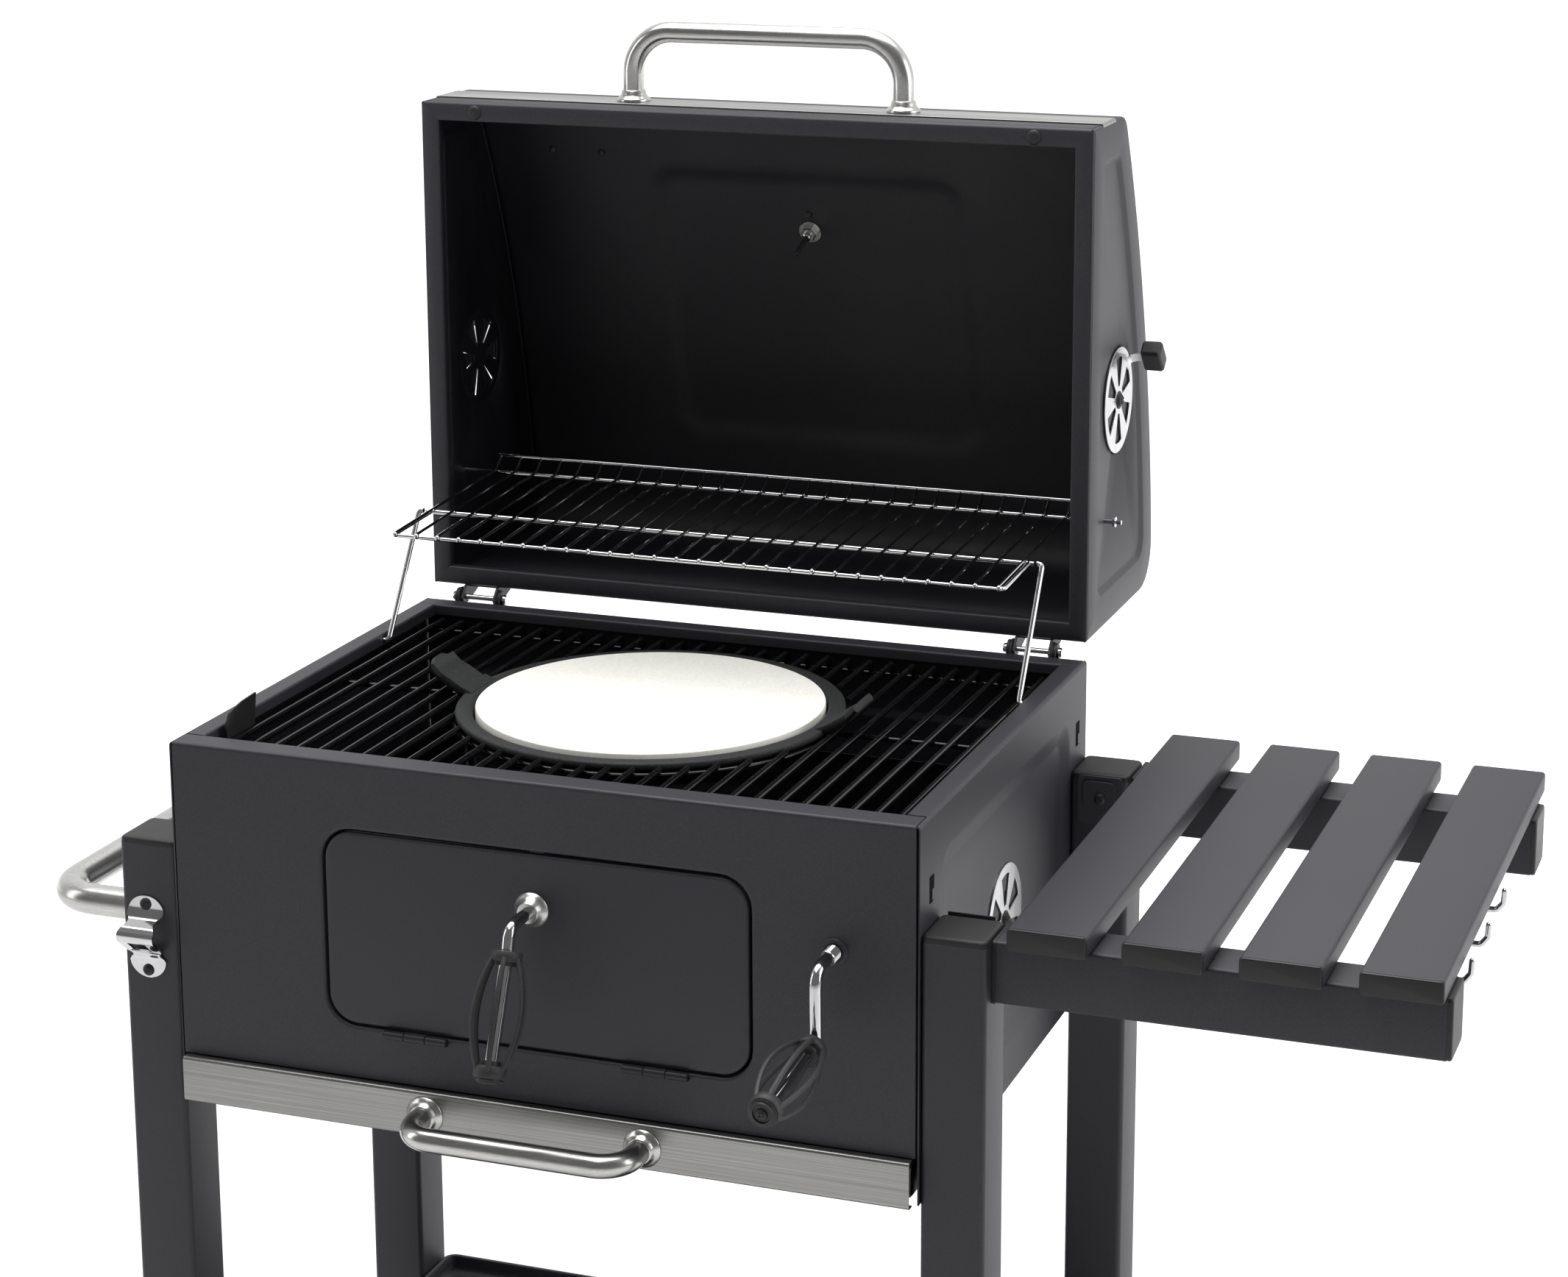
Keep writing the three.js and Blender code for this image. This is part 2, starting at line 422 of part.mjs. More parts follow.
// ---------------------------------------------------------------- front door, latch handle, hinges
const DH = [-5.6, RIM - 218.5];        // door hinge axis (y, z)
{
  const d = roundRect(-177.5, 177.5, RIM - 215.5, RIM - 55.5, 25);
  const knuckle = x => xrod(x - 9, x + 9, DH, 3.3);
  const leaf = x => join(box(x - 9, x + 9, -T - 1.6, -T - GAP, DH[1] + 1, RIM - 206), box(x - 9, x + 9, -T - 1, -T + 0.2, RIM - 214, RIM - 206));
  add('front_door', join(cut(prism('y', d, -T, 0), xzcyl(0, RIM - 100.8, 5.4, -5, 5)), turned('y', [[5.4, -0.4], [14.5, -0.4], [9, 9], [5.4, 9]].map(p => [p[0], -p[1]]), [0, -T, RIM - 100.8], 16),
    knuckle(-100.7), knuckle(100.7), leaf(-100.7), leaf(100.7)), M.paint);
}
function xrod(x0, x1, c, r) { return yzcyl(c[0], c[1], r, x0, x1, 8); }
both((lr, s) => {
  const c = 100.7;
  add(`door_hinge_${lr}`, side(join(xrod(c - 27, c - 9.4, DH, 3.3), xrod(c + 9.4, c + 27, DH, 3.3), xrod(c - 27, c + 27, DH, 1.2),
    box(c - 27, c + 27, -T - 1.6, -T - GAP, RIM - 227, DH[1] - 3.3), box(c - 27, c - 9.4, -T - 3.2, -T - GAP, RIM - 224, DH[1] - 0.5), box(c + 9.4, c + 27, -T - 3.2, -T - GAP, RIM - 224, DH[1] - 0.5)), s), M.paint);
});
// the knuckle in the door runs on the thin pin with clearance
{
  const d = root.getObjectByName('front_door');
  d.geometry = clean(cut(d.geometry, xrod(-130, 130, DH, 1.7)));
  d.geometry.computeVertexNormals();
}
function cage(a, b, r0, r1) {
  // grip: two collars joined by bowed ribs round a rod, from a to b
  const u = b.clone().sub(a).normalize(), L = b.distanceTo(a), v = V(1, 0, 0), w = u.clone().cross(v).normalize(), parts = [];
  const at = (s, r, q) => a.clone().addScaledVector(u, s).addScaledVector(v, r * Math.cos(q)).addScaledVector(w, r * Math.sin(q));
  const collar = (s0, s1) => {
    const g = new THREE.CylinderGeometry(r0, r0, s1 - s0, 10);
    g.applyQuaternion(new THREE.Quaternion().setFromUnitVectors(V(0, 1, 0), u));
    const c = a.clone().addScaledVector(u, (s0 + s1) / 2);
    g.translate(c.x, c.y, c.z);
    return g;
  };
  parts.push(collar(0, 9), collar(L - 9, L));
  for (let k = 0; k < 5; k++) {
    const q = 2 * Math.PI * k / 5 + 0.3;
    parts.push(rod([[7, r0 - 3], [L * 0.3, r1 - 2.4], [L * 0.7, r1 - 2.4], [L - 7, r0 - 3]].map(([s, r]) => at(s, r, q)), 2.1, 4));
  }
  return [parts, u];
}
const handleRod = (pts, r, R) => rod(bend(pts, R, 3), r, 8);
{
  // latch handle: rod through the door, bent down, with the cage grip and a latch tongue behind
  const z = RIM - 100.8, a = V(0, -48, z - 17), b = V(0, -88, z - 108);
  const u = b.clone().sub(a).normalize(), knee = a.clone().addScaledVector(u, -14.5);
  knee.z = z; knee.y = a.y + u.y / u.z * (z - a.z) * 1;
  add('door_latch_rod', join(handleRod([V(0, 14, z), V(0, knee.y, z), a.clone().addScaledVector(u, -0.3)], 4.8, 9), box(-6, 6, 9, 12, z - 5, z + 44)), M.chrome);
  const [p] = cage(a, b, 13, 21);
  const core = rod([a.clone(), b.clone().addScaledVector(u, 1.5)], 5.2, 8);
  add('door_latch_grip', join(core, ...p), M.grip);
}
{
  const x = 244, z = RIM - 103.8, a = V(x, -50, z - 57), b = V(x - 3, -149, z - 69);
  const u = b.clone().sub(a).normalize();
  add('crank_rod', handleRod([V(x, 150, z), V(x, -44, z), V(x, -44, z - 56.3), a.clone().addScaledVector(u, -0.3)], 4.8, [0, 11, 5.5]), M.chrome);
  const [p] = cage(a, b, 13, 21);
  const core = rod([a.clone(), b.clone().addScaledVector(u, 1.5)], 5.2, 8);
  add('crank_grip', join(core, ...p), M.grip);
}

// ---------------------------------------------------------------- ash drawer
{
  const z0 = RIM - 294.6, z1 = RIM - 264;
  add('ash_tray', cut(box(-305, 305, -2, 448, z0, z1), box(-303.4, 303.4, -0.4, 446.4, z0 + 1.6, z1 + 10)), M.enamel);
  add('drawer_front', prism('x', strip2([[-2.6, RIM - 296.5], [-10, RIM - 296.5], [-10, RIM - 260.5], [-2.6, RIM - 260.5]], -1.2), -305.5, 305.5), M.steel);
  add('drawer_handle', uHandle(x => V(x, -10 - GAP, RIM - 279), V(0, -1, 0), 42, 9, 24, 16, 7, 91.6), M.satin);
}

// ---------------------------------------------------------------- push handle, bottle opener
{
  const z = RIM - 151, x0 = -LEGX - LEG - GAP, xo = -440;
  add('push_handle', rod(bend([V(x0, 25, z), V(xo, 25, z), V(xo, REARY + 25, z), V(x0, REARY + 25, z)], 38, 4), 12.5, 10), M.satin);
  const ox = -338, w = 15;
  add('bottle_opener', cut(prism('x', strip2([[-GAP, RIM - 131], [-GAP, RIM - 146], [-16, RIM - 152], [-21, RIM - 157], [-20, RIM - 163], [-GAP, RIM - 182], [-GAP, RIM - 200]], -1.8), ox - w, ox + w),
    box(ox - 10, ox + 10, -30, -8, RIM - 176, RIM - 160)), M.chrome);
}

// ---------------------------------------------------------------- side table
function tubeX(x0, x1, y0, y1, z0, z1, t) {
  return prism('x', [[y0, z0], [y1, z0], [y1, z1], [y0, z1]], x0, x1, [[[y0 + t, z0 + t], [y0 + t, z1 - t], [y1 - t, z1 - t], [y1 - t, z0 + t]]]);
}
const ST = RIM - 69.4, SB = ST - 17.5, RX0 = LEGX + LEG + GAP, RX1 = 697;
add('table_rail_front', tubeX(RX0, RX1, 15, 61, SB - 48.6, SB - GAP, 2), M.paint);
add('table_rail_rear', tubeX(RX0, RX1, 420, 466, SB - 48.6, SB - GAP, 2), M.paint);
for (let i = 0; i < 4; i++) {
  const x0 = 375.7 + 85.7 * i, x1 = x0 + 60, t = 1.6;
  add(`table_slat_${i + 1}`, prism('y', [[x0, SB], [x1, SB], [x1, ST], [x0, ST]], -2, 494, [[[x0 + t, SB + t], [x0 + t, ST - t], [x1 - t, ST - t], [x1 - t, SB + t]]]), M.paint);
}
{
  const hook = y => rod([V(679, y, SB - 1), V(679, y, SB - 8), V(682, y, SB - 14), V(688, y, SB - 16.5), V(694, y, SB - 13), V(697, y, SB - 6), V(697.5, y, SB + 1)], 2.4, 8);
  add('tool_hooks', join(box(671, 683, 84, 254, SB - 2.3, SB - GAP), hook(92), hook(169), hook(246)), M.chrome);
}

// ---------------------------------------------------------------- origin: middle of the box, on the floor
for (const o of root.children) o.geometry.translate(-124, -267.9, 0);

export default root;
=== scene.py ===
"""Hooded charcoal grill trolley: the visual model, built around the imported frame.

Shapes are drawn in millimetres in the firebox's own frame (X = 0 in the middle, Y = 0 on the front
panel, Z = 0 on the top rim) and world() moves them to the row frame, in metres.
"""
import math

import bmesh
import bpy
from mathutils import Matrix, Vector

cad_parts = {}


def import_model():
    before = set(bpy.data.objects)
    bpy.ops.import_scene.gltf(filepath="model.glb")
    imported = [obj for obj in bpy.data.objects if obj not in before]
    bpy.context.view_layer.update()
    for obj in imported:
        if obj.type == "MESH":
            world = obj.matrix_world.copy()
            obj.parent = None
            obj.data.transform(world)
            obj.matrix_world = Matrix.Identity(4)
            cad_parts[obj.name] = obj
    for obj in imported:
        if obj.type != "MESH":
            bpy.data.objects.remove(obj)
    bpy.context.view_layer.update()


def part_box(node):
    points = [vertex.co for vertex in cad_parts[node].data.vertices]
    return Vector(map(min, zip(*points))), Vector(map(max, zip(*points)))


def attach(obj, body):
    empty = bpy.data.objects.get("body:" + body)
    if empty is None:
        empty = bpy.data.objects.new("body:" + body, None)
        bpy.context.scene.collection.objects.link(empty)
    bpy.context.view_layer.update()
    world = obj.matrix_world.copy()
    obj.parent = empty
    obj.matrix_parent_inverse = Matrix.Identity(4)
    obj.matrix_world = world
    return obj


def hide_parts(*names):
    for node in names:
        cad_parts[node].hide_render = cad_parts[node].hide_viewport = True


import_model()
_lo, _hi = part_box("firebox_front")
ORIGIN = Vector(((_lo.x + _hi.x) / 2, _lo.y + 0.002, _hi.z))


def world(p):
    return ORIGIN + Vector(p) * 0.001


def local_box(node):
    a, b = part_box(node)
    return (a - ORIGIN) * 1000, (b - ORIGIN) * 1000


# ------------------------------------------------------------------ materials
def tree(name):
    m = bpy.data.materials.new(name)
    m.use_nodes = True
    return m, m.node_tree, m.node_tree.nodes["Principled BSDF"]


def noise(t, scale, detail=2.0, stretch=(1, 1, 1)):
    c = t.nodes.new("ShaderNodeTexCoord")
    p = t.nodes.new("ShaderNodeMapping")
    p.inputs["Scale"].default_value = stretch
    n = t.nodes.new("ShaderNodeTexNoise")
    n.inputs["Scale"].default_value = scale
    n.inputs["Detail"].default_value = detail
    t.links.new(c.outputs["Object"], p.inputs["Vector"])
    t.links.new(p.outputs["Vector"], n.inputs["Vector"])
    return n.outputs["Fac"]


def ramp(t, fac, dark, light, a=0.35, b=0.65):
    r = t.nodes.new("ShaderNodeValToRGB")
    r.color_ramp.elements[0].position, r.color_ramp.elements[1].position = a, b
    r.color_ramp.elements[0].color = (*dark, 1)
    r.color_ramp.elements[1].color = (*light, 1)
    t.links.new(fac, r.inputs["Fac"])
    return r.outputs["Color"]


def span(t, fac, lo, hi, a=0.3, b=0.7):
    m = t.nodes.new("ShaderNodeMapRange")
    for k, v in (("From Min", a), ("From Max", b), ("To Min", lo), ("To Max", hi)):
        m.inputs[k].default_value = v
    t.links.new(fac, m.inputs["Value"])
    return m.outputs["Result"]


def relief(t, shader, height, strength, distance):
    b = t.nodes.new("ShaderNodeBump")
    b.inputs["Strength"].default_value = strength
    b.inputs["Distance"].default_value = distance
    t.links.new(height, b.inputs["Height"])
    t.links.new(b.outputs["Normal"], shader.inputs["Normal"])


def surface(name, dark, light, metallic, rough, scale, strength, distance, stretch=(1, 1, 1), detail=3.0, patch=9.0,
        **fixed):
    """Grain at scale (per metre) drives the colour and the bump, slow patches drive the roughness."""
    m, t, s = tree(name)
    grain = noise(t, scale, detail, stretch)
    t.links.new(ramp(t, grain, dark, light), s.inputs["Base Color"])
    t.links.new(span(t, noise(t, patch, 4.0), *rough), s.inputs["Roughness"])
    s.inputs["Metallic"].default_value = metallic
    for k, v in fixed.items():
        s.inputs[k.replace("_", " ")].default_value = v
    relief(t, s, grain, strength, distance)
    return m


PAINT = surface("powder_coat", (0.0185, 0.0185, 0.0245), (0.0275, 0.0275, 0.0360), 0.0, (0.49, 0.54), 900, 0.35,
        0.0002, patch=3.0)
# a darker copy of the powder coat: on the lid's inner faces and vent seats it is painted shade for the dark inside of
# the lid, on the door hinges it is their own black paint
PAINTED_SHADE_AND_HINGE_COAT = surface("powder_coat_painted_shade_and_hinges", (0.0075, 0.0075, 0.0110), (0.0130, 0.0130, 0.0185), 0.0, (0.42, 0.54), 900,
        0.3, 0.0002)
PLASTIC = surface("black_plastic", (0.009, 0.009, 0.0095), (0.016, 0.016, 0.017), 0.0, (0.45, 0.58), 1400, 0.3,
        0.00015)
SILICONE = surface("grip_silicone", (0.020, 0.020, 0.022), (0.030, 0.030, 0.032), 0.0, (0.50, 0.62), 700, 0.15,
        0.0001)
STEEL_X = surface("brushed_along_x", (0.26, 0.256, 0.252), (0.37, 0.366, 0.362), 1.0, (0.30, 0.40), 220, 0.25,
        0.00008, (0.02, 9, 9), 5.0, Anisotropic=0.5)
SATIN = surface("satin_tube", (0.50, 0.495, 0.48), (0.62, 0.615, 0.60), 1.0, (0.20, 0.30), 260, 0.14, 0.00005,
        (0.3, 5, 5), 4.0)
CHROME = surface("chrome", (0.62, 0.62, 0.63), (0.68, 0.68, 0.69), 1.0, (0.04, 0.10), 60, 0.03, 0.00003)
PLATE = surface("bright_plate", (0.52, 0.52, 0.53), (0.60, 0.60, 0.61), 1.0, (0.16, 0.26), 90, 0.05, 0.00004)
ENAMEL = surface("black_enamel", (0.003, 0.003, 0.0035), (0.007, 0.007, 0.008), 0.0, (0.10, 0.20), 240, 0.10,
        0.0001, Specular_IOR_Level=0.4)
IRON = surface("cast_iron", (0.009, 0.010, 0.010), (0.024, 0.025, 0.025), 0.0, (0.55, 0.75), 520, 0.8, 0.0005,
        detail=6.0, Specular_IOR_Level=0.35)
STONE = surface("stone", (0.80, 0.79, 0.73), (0.88, 0.87, 0.82), 0.0, (0.74, 0.90), 420, 0.30, 0.00025, detail=8.0)
TYRE = surface("tyre", (0.014, 0.014, 0.014), (0.026, 0.026, 0.026), 0.0, (0.66, 0.82), 500, 0.4, 0.0003)
SHADE = surface("slot_shade", (0.0015, 0.0015, 0.0017), (0.003, 0.003, 0.0033), 0.0, (0.85, 0.95), 500, 0.1, 0.0001,
        Specular_IOR_Level=0.1)
DIAL = surface("dial_face", (0.78, 0.78, 0.76), (0.84, 0.84, 0.82), 0.0, (0.35, 0.5), 300, 0.05, 0.00005)


# ------------------------------------------------------------------ shapes, each a (points, faces) pair
def merge(*parts):
    pts, faces = [], []
    for p, f in parts:
        n = len(pts)
        pts += list(p)
        faces += [[i + n for i in q] for q in f]
    return pts, faces


def mirror(shape, s):
    return shape if s > 0 else ([(-x, y, z) for x, y, z in shape[0]], [list(reversed(f)) for f in shape[1]])


def place(axis, u, v, w):
    """A flat point (u, v) at w along the axis: x takes (y, z), y takes (x, z), z takes (x, y)."""
    return {"x": (w, u, v), "y": (u, w, v), "z": (u, v, w)}[axis]


def loops(rings, first=False, last=False):
    n = len(rings[0])
    pts = [tuple(p) for r in rings for p in r]
    faces = [[a * n + j, a * n + (j + 1) % n, (a + 1) * n + (j + 1) % n,
            (a + 1) * n + j] for a in range(len(rings) - 1) for j in range(n)]
    if first:
        faces.append(list(range(n))[::-1])
    if last:
        faces.append([(len(rings) - 1) * n + j for j in range(n)])
    return pts, faces


def flat_loops(axis, outlines, first=False, last=False):
    """outlines is [(outline, w), ...]: equal-length outlines at depths w."""
    return loops([[place(axis, u, v, w) for u, v in o] for o, w in outlines], first, last)


def prism(axis, outline, a, b):
    return flat_loops(axis, [(outline, a), (outline, b)], True, True)


def slab(x0, x1, y0, y1, z0, z1):
    return prism("z", [(x0, y0), (x1, y0), (x1, y1), (x0, y1)], z0, z1)


def rrect(u0, u1, v0, v1, r, n=6):
    out = []
    for cu, cv, a in ((u1 - r, v1 - r, 0), (u0 + r, v1 - r, 90), (u0 + r, v0 + r, 180), (u1 - r, v0 + r, 270)):
        for k in range(n + 1):
            q = math.radians(a + 90 * k / n)
            out.append((cu + r * math.cos(q), cv + r * math.sin(q)))
    return out


def ring(c, r, n, start=0.0):
    return [(c[0] + r * math.cos(start + 2 * math.pi * k / n),
            c[1] + r * math.sin(start + 2 * math.pi * k / n)) for k in range(n)]


def ring_like(c, r, outline):
    """A circle whose points lie in the directions of an outline's points."""
    out = []
    for u, v in outline:
        d = math.hypot(u - c[0], v - c[1])
        out.append((c[0] + r * (u - c[0]) / d, c[1] + r * (v - c[1]) / d))
    return out


def fillet(path, radii, steps=6):
    """Rounds the corners of a path of points; radii is one number or one per point."""
    path = [Vector(p) for p in path]
    radii = radii if isinstance(radii, (list, tuple)) else [radii] * len(path)
    out = [path[0]]
    for i in range(1, len(path) - 1):
        p, r = path[i], radii[i]
        a, b = (path[i - 1] - p).normalized(), (path[i + 1] - p).normalized()
        angle = a.angle(b)
        if r == 0 or angle > math.pi - 1e-3:
            out.append(p)
            continue
        c = p + (a + b).normalized() * (r / math.sin(angle / 2))
        s, e = p + a * (r / math.tan(angle / 2)) - c, p + b * (r / math.tan(angle / 2)) - c
        w = s.angle(e)
        for k in range(steps + 1):
            f = k / steps
            out.append(c + (s * math.sin((1 - f) * w) + e * math.sin(f * w)) / math.sin(w))
    return out + [path[-1]]


def fillet2(path, radii, steps=6):
    return [(p.x, p.y) for p in fillet([(u, v, 0) for u, v in path], radii, steps)]


def closed2(corners, radii, steps=6):
    """A closed flat outline with rounded corners; it starts halfway along the first side."""
    m = ((corners[0][0] + corners[-1][0]) / 2, (corners[0][1] + corners[-1][1]) / 2)
    return fillet2([m] + list(corners) + [m], [0] + list(radii) + [0], steps)[:-1]


def tube(path, r, n=16, closed=False, caps=True, radius=None):
    """A round rod along a path; radius(i) may change the thickness along it."""
    path = [Vector(p) for p in path]
    N, rings, up = len(path), [], None
    for i in range(N):
        a = path[(i - 1) % N] if closed else path[max(i - 1, 0)]
        c = path[(i + 1) % N] if closed else path[min(i + 1, N - 1)]
        t = (c - a).normalized()
        if up is None:
            up = Vector((0, 0, 1)) if abs(t.z) < 0.9 else Vector((0, 1, 0))
        u = (up - t * up.dot(t)).normalized()
        w = t.cross(u)
        q = radius(i) if radius else r
        rings.append([path[i] + (u * math.cos(2 * math.pi * j / n) + w * math.sin(2 * math.pi * j / n)) * q
                      for j in range(n)])
        up = u
    if closed:
        pts, faces = loops(rings)
        e = (N - 1) * n
        return pts, faces + [[e + j, e + (j + 1) % n, (j + 1) % n, j] for j in range(n)]
    return loops(rings, caps, caps)


def lathe(profile, at, direction, n=32):
    """Turns [(radius, height), ...] about the direction through the point at; a radius of 0 closes it."""
    q = Vector(direction).normalized().to_track_quat("Z", "Y")
    at = Vector(at)
    rings = [[at + q @ Vector((max(r, 1e-4) * math.cos(2 * math.pi * j / n),
            max(r, 1e-4) * math.sin(2 * math.pi * j / n), h)) for j in range(n)] for r, h in profile]
    return loops(rings, True, True)


def ball(c, r, n=10):
    return lathe([(r * math.sin(math.pi * k / 6), -r * math.cos(math.pi * k / 6)) for k in range(7)], c, (0, 0, 1),
            n)


def strip(axis, path, t, a, b):
    """A bent strip of sheet: an open flat path of thickness t, pushed from a to b along the axis."""
    inner = []
    for i, p in enumerate(path):
        d0 = Vector(p) - Vector(path[i - 1]) if i else Vector(path[1]) - Vector(p)
        d1 = Vector(path[i + 1]) - Vector(p) if i + 1 < len(path) else d0
        n = (Vector((-d0.y, d0.x)).normalized() + Vector((-d1.y, d1.x)).normalized())
        n = n * (2 / n.length_squared)
        inner.append((p[0] + n.x * t, p[1] + n.y * t))
    k = len(path)
    pts = [place(axis, u, v, w) for w in (a, b) for o in (path, inner) for u, v in o]
    faces = []
    for i in range(k - 1):
        for s in (0, k):
            faces.append([s + i, s + i + 1, s + i + 1 + 2 * k, s + i + 2 * k])
        for e in (0, 2 * k):
            faces.append([e + i, e + i + 1, e + k + i + 1, e + k + i])
    for i in (0, k - 1):
        faces.append([i, k + i, 3 * k + i, 2 * k + i])
    return pts, faces


def plate(axis, outline, holes, a, b):
    """A flat plate with holes."""
    bm = bmesh.new()
    for o in [outline] + holes:
        vs = [bm.verts.new(place(axis, u, v, a)) for u, v in o]
        for i, v in enumerate(vs):
            bm.edges.new((v, vs[(i + 1) % len(vs)]))
    bmesh.ops.triangle_fill(bm, use_beauty=True, use_dissolve=False, edges=bm.edges[:])
    made = bmesh.ops.extrude_face_region(bm, geom=bm.faces[:])
    bmesh.ops.translate(bm, vec=place(axis, 0, 0, b - a),
            verts=[g for g in made["geom"] if isinstance(g, bmesh.types.BMVert)])
    bm.verts.index_update()
    shape = [tuple(v.co) for v in bm.verts], [[v.index for v in f.verts] for f in bm.faces]
    bm.free()
    return shape


def screw(at, direction, r, n=20):
    """A domed cross-head screw: the head with a cross cut in as four raised quarters."""
    q = Vector(direction).normalized().to_track_quat("Z", "Y")
    head = lathe([(0, 0), (r, 0), (r * 0.98, r * 0.22), (r * 0.8, r * 0.42), (r * 0.5, r * 0.52), (0, r * 0.52)],
            at, direction, n)
    parts = [head]
    for sx in (-1, 1):
        for sy in (-1, 1):
            quad = [(0.1, 0.1), (0.52, 0.1), (0.38, 0.38), (0.1, 0.52)]
            pts = [Vector(at) + q @ Vector((sx * x * r, sy * y * r, h * r)) for h in (0.45, 0.62) for x, y in quad]
            parts.append(([tuple(p) for p in pts], [[0, 1, 2, 3], [7, 6, 5, 4]] + [[i, (i + 1) % 4, 4 + (i + 1) % 4,
                    4 + i] for i in range(4)]))
    return merge(*parts)


def piece(name, shape, body, material, replaces=(), sharp=38, bevel=0.0, thick=0.0, out=None, inside=None,
        offset=0.0):
    """Makes the object. thick turns a sheet into a solid one, and out says which way its outer side faces."""
    name = "visual_" + name
    me = bpy.data.meshes.new(name)
    me.from_pydata([world(p) for p in shape[0]], [], shape[1])
    bm = bmesh.new()
    bm.from_mesh(me)
    bmesh.ops.remove_doubles(bm, verts=bm.verts, dist=2e-5)
    bmesh.ops.dissolve_degenerate(bm, edges=bm.edges, dist=1e-6)
    bmesh.ops.recalc_face_normals(bm, faces=bm.faces)
    if out:
        total = sum(((f.normal * f.calc_area()) for f in bm.faces), Vector())
        if total.dot(Vector(out)) < 0:
            bmesh.ops.reverse_faces(bm, faces=bm.faces)
    bm.to_mesh(me)
    bm.free()
    me.shade_smooth()
    me.set_sharp_from_angle(angle=math.radians(sharp))
    o = bpy.data.objects.new(name, me)
    bpy.context.scene.collection.objects.link(o)
    me.materials.append(material)
    if thick:
        m = o.modifiers.new("thick", "SOLIDIFY")
        m.thickness, m.offset = thick * 0.001, offset
        if inside:
            me.materials.append(inside)
            m.material_offset = 1
    if bevel:
        m = o.modifiers.new("edge", "BEVEL")
        m.width, m.segments, m.limit_method, m.angle_limit = bevel * 0.001, 2, "ANGLE", math.radians(50)
        o.modifiers.new("normals", "WEIGHTED_NORMAL").keep_sharp = True
    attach(o, body)
    if replaces:
        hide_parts(*([replaces] if isinstance(replaces, str) else replaces))
    return o


SIDES = (("left", -1), ("right", 1))

# ------------------------------------------------------------------ legs, feet, caps
for leg in ("front_left", "front_right", "rear_left", "rear_right"):
    a, b = local_box("leg_" + leg)
    piece("leg_" + leg, prism("z", rrect(a.x, b.x, a.y, b.y, 4.5, 5), a.z, b.z), "frame", PAINT,
            "leg_" + leg)
    z = b.z
    cap = [(4.0, 0.0, z + 0.2), (4.0, 0.0, z + 2.2), (3.8, 0.5, z + 3.5), (3.4, 1.4, z + 4.4), (3.0, 2.8, z + 4.9),
            (3.0, 4.5, z + 5.0)]
    rings = [[(u, v, h) for u, v in rrect(a.x + i, b.x - i, a.y + i, b.y - i, r + 1.0, 5)] for r, i, h in cap]
    piece("cap_" + leg, loops(rings, True, True), "frame", PLASTIC, "leg_cap_" + leg)
    if leg.endswith("left"):
        c, d = local_box("foot_" + leg)
        foot = [(0.5, d.z), (0.5, c.z + 4), (0.9, c.z + 1.5), (2.2, c.z), (12, c.z)]
        rings = [[(u, v, h) for u, v in rrect(c.x + i, d.x - i, c.y + i, d.y - i, 4.5, 5)] for i, h in foot]
        piece("foot_" + leg, loops(rings, True, True), "frame", PLASTIC, "foot_" + leg)
    else:
        plug = [(0.4, a.z - 0.1), (0.4, a.z - 3.0), (2.5, a.z - 4.0)]
        rings = [[(u, v, h) for u, v in rrect(a.x + i, b.x - i, a.y + i, b.y - i, 4.5, 5)] for i, h in plug]
        piece("plug_" + leg, loops(rings, True, True), "frame", PLASTIC)

# ------------------------------------------------------------------ bottom shelf: a tray with a rolled rim
a, b = local_box("bottom_shelf")
tray = [(0.5, b.z - 8), (0.5, b.z - 3), (1.2, b.z - 1.2), (2.8, b.z - 0.4), (4.6, b.z - 1.2), (5.4, b.z - 3),
        (5.6, a.z + 7), (6.6, a.z + 4), (9.5, a.z + 2), (14, a.z + 1.6), (60, a.z + 1.6)]
rings = [[(u, v, h) for u, v in rrect(a.x + i, b.x - i, a.y + i, b.y - i, max(12 - i, 4), 6)] for i, h in tray]
piece("bottom_shelf", loops(rings, False, True), "frame", PAINT, "bottom_shelf", thick=1.4,
        out=(0, 0, 1), offset=-1.0)

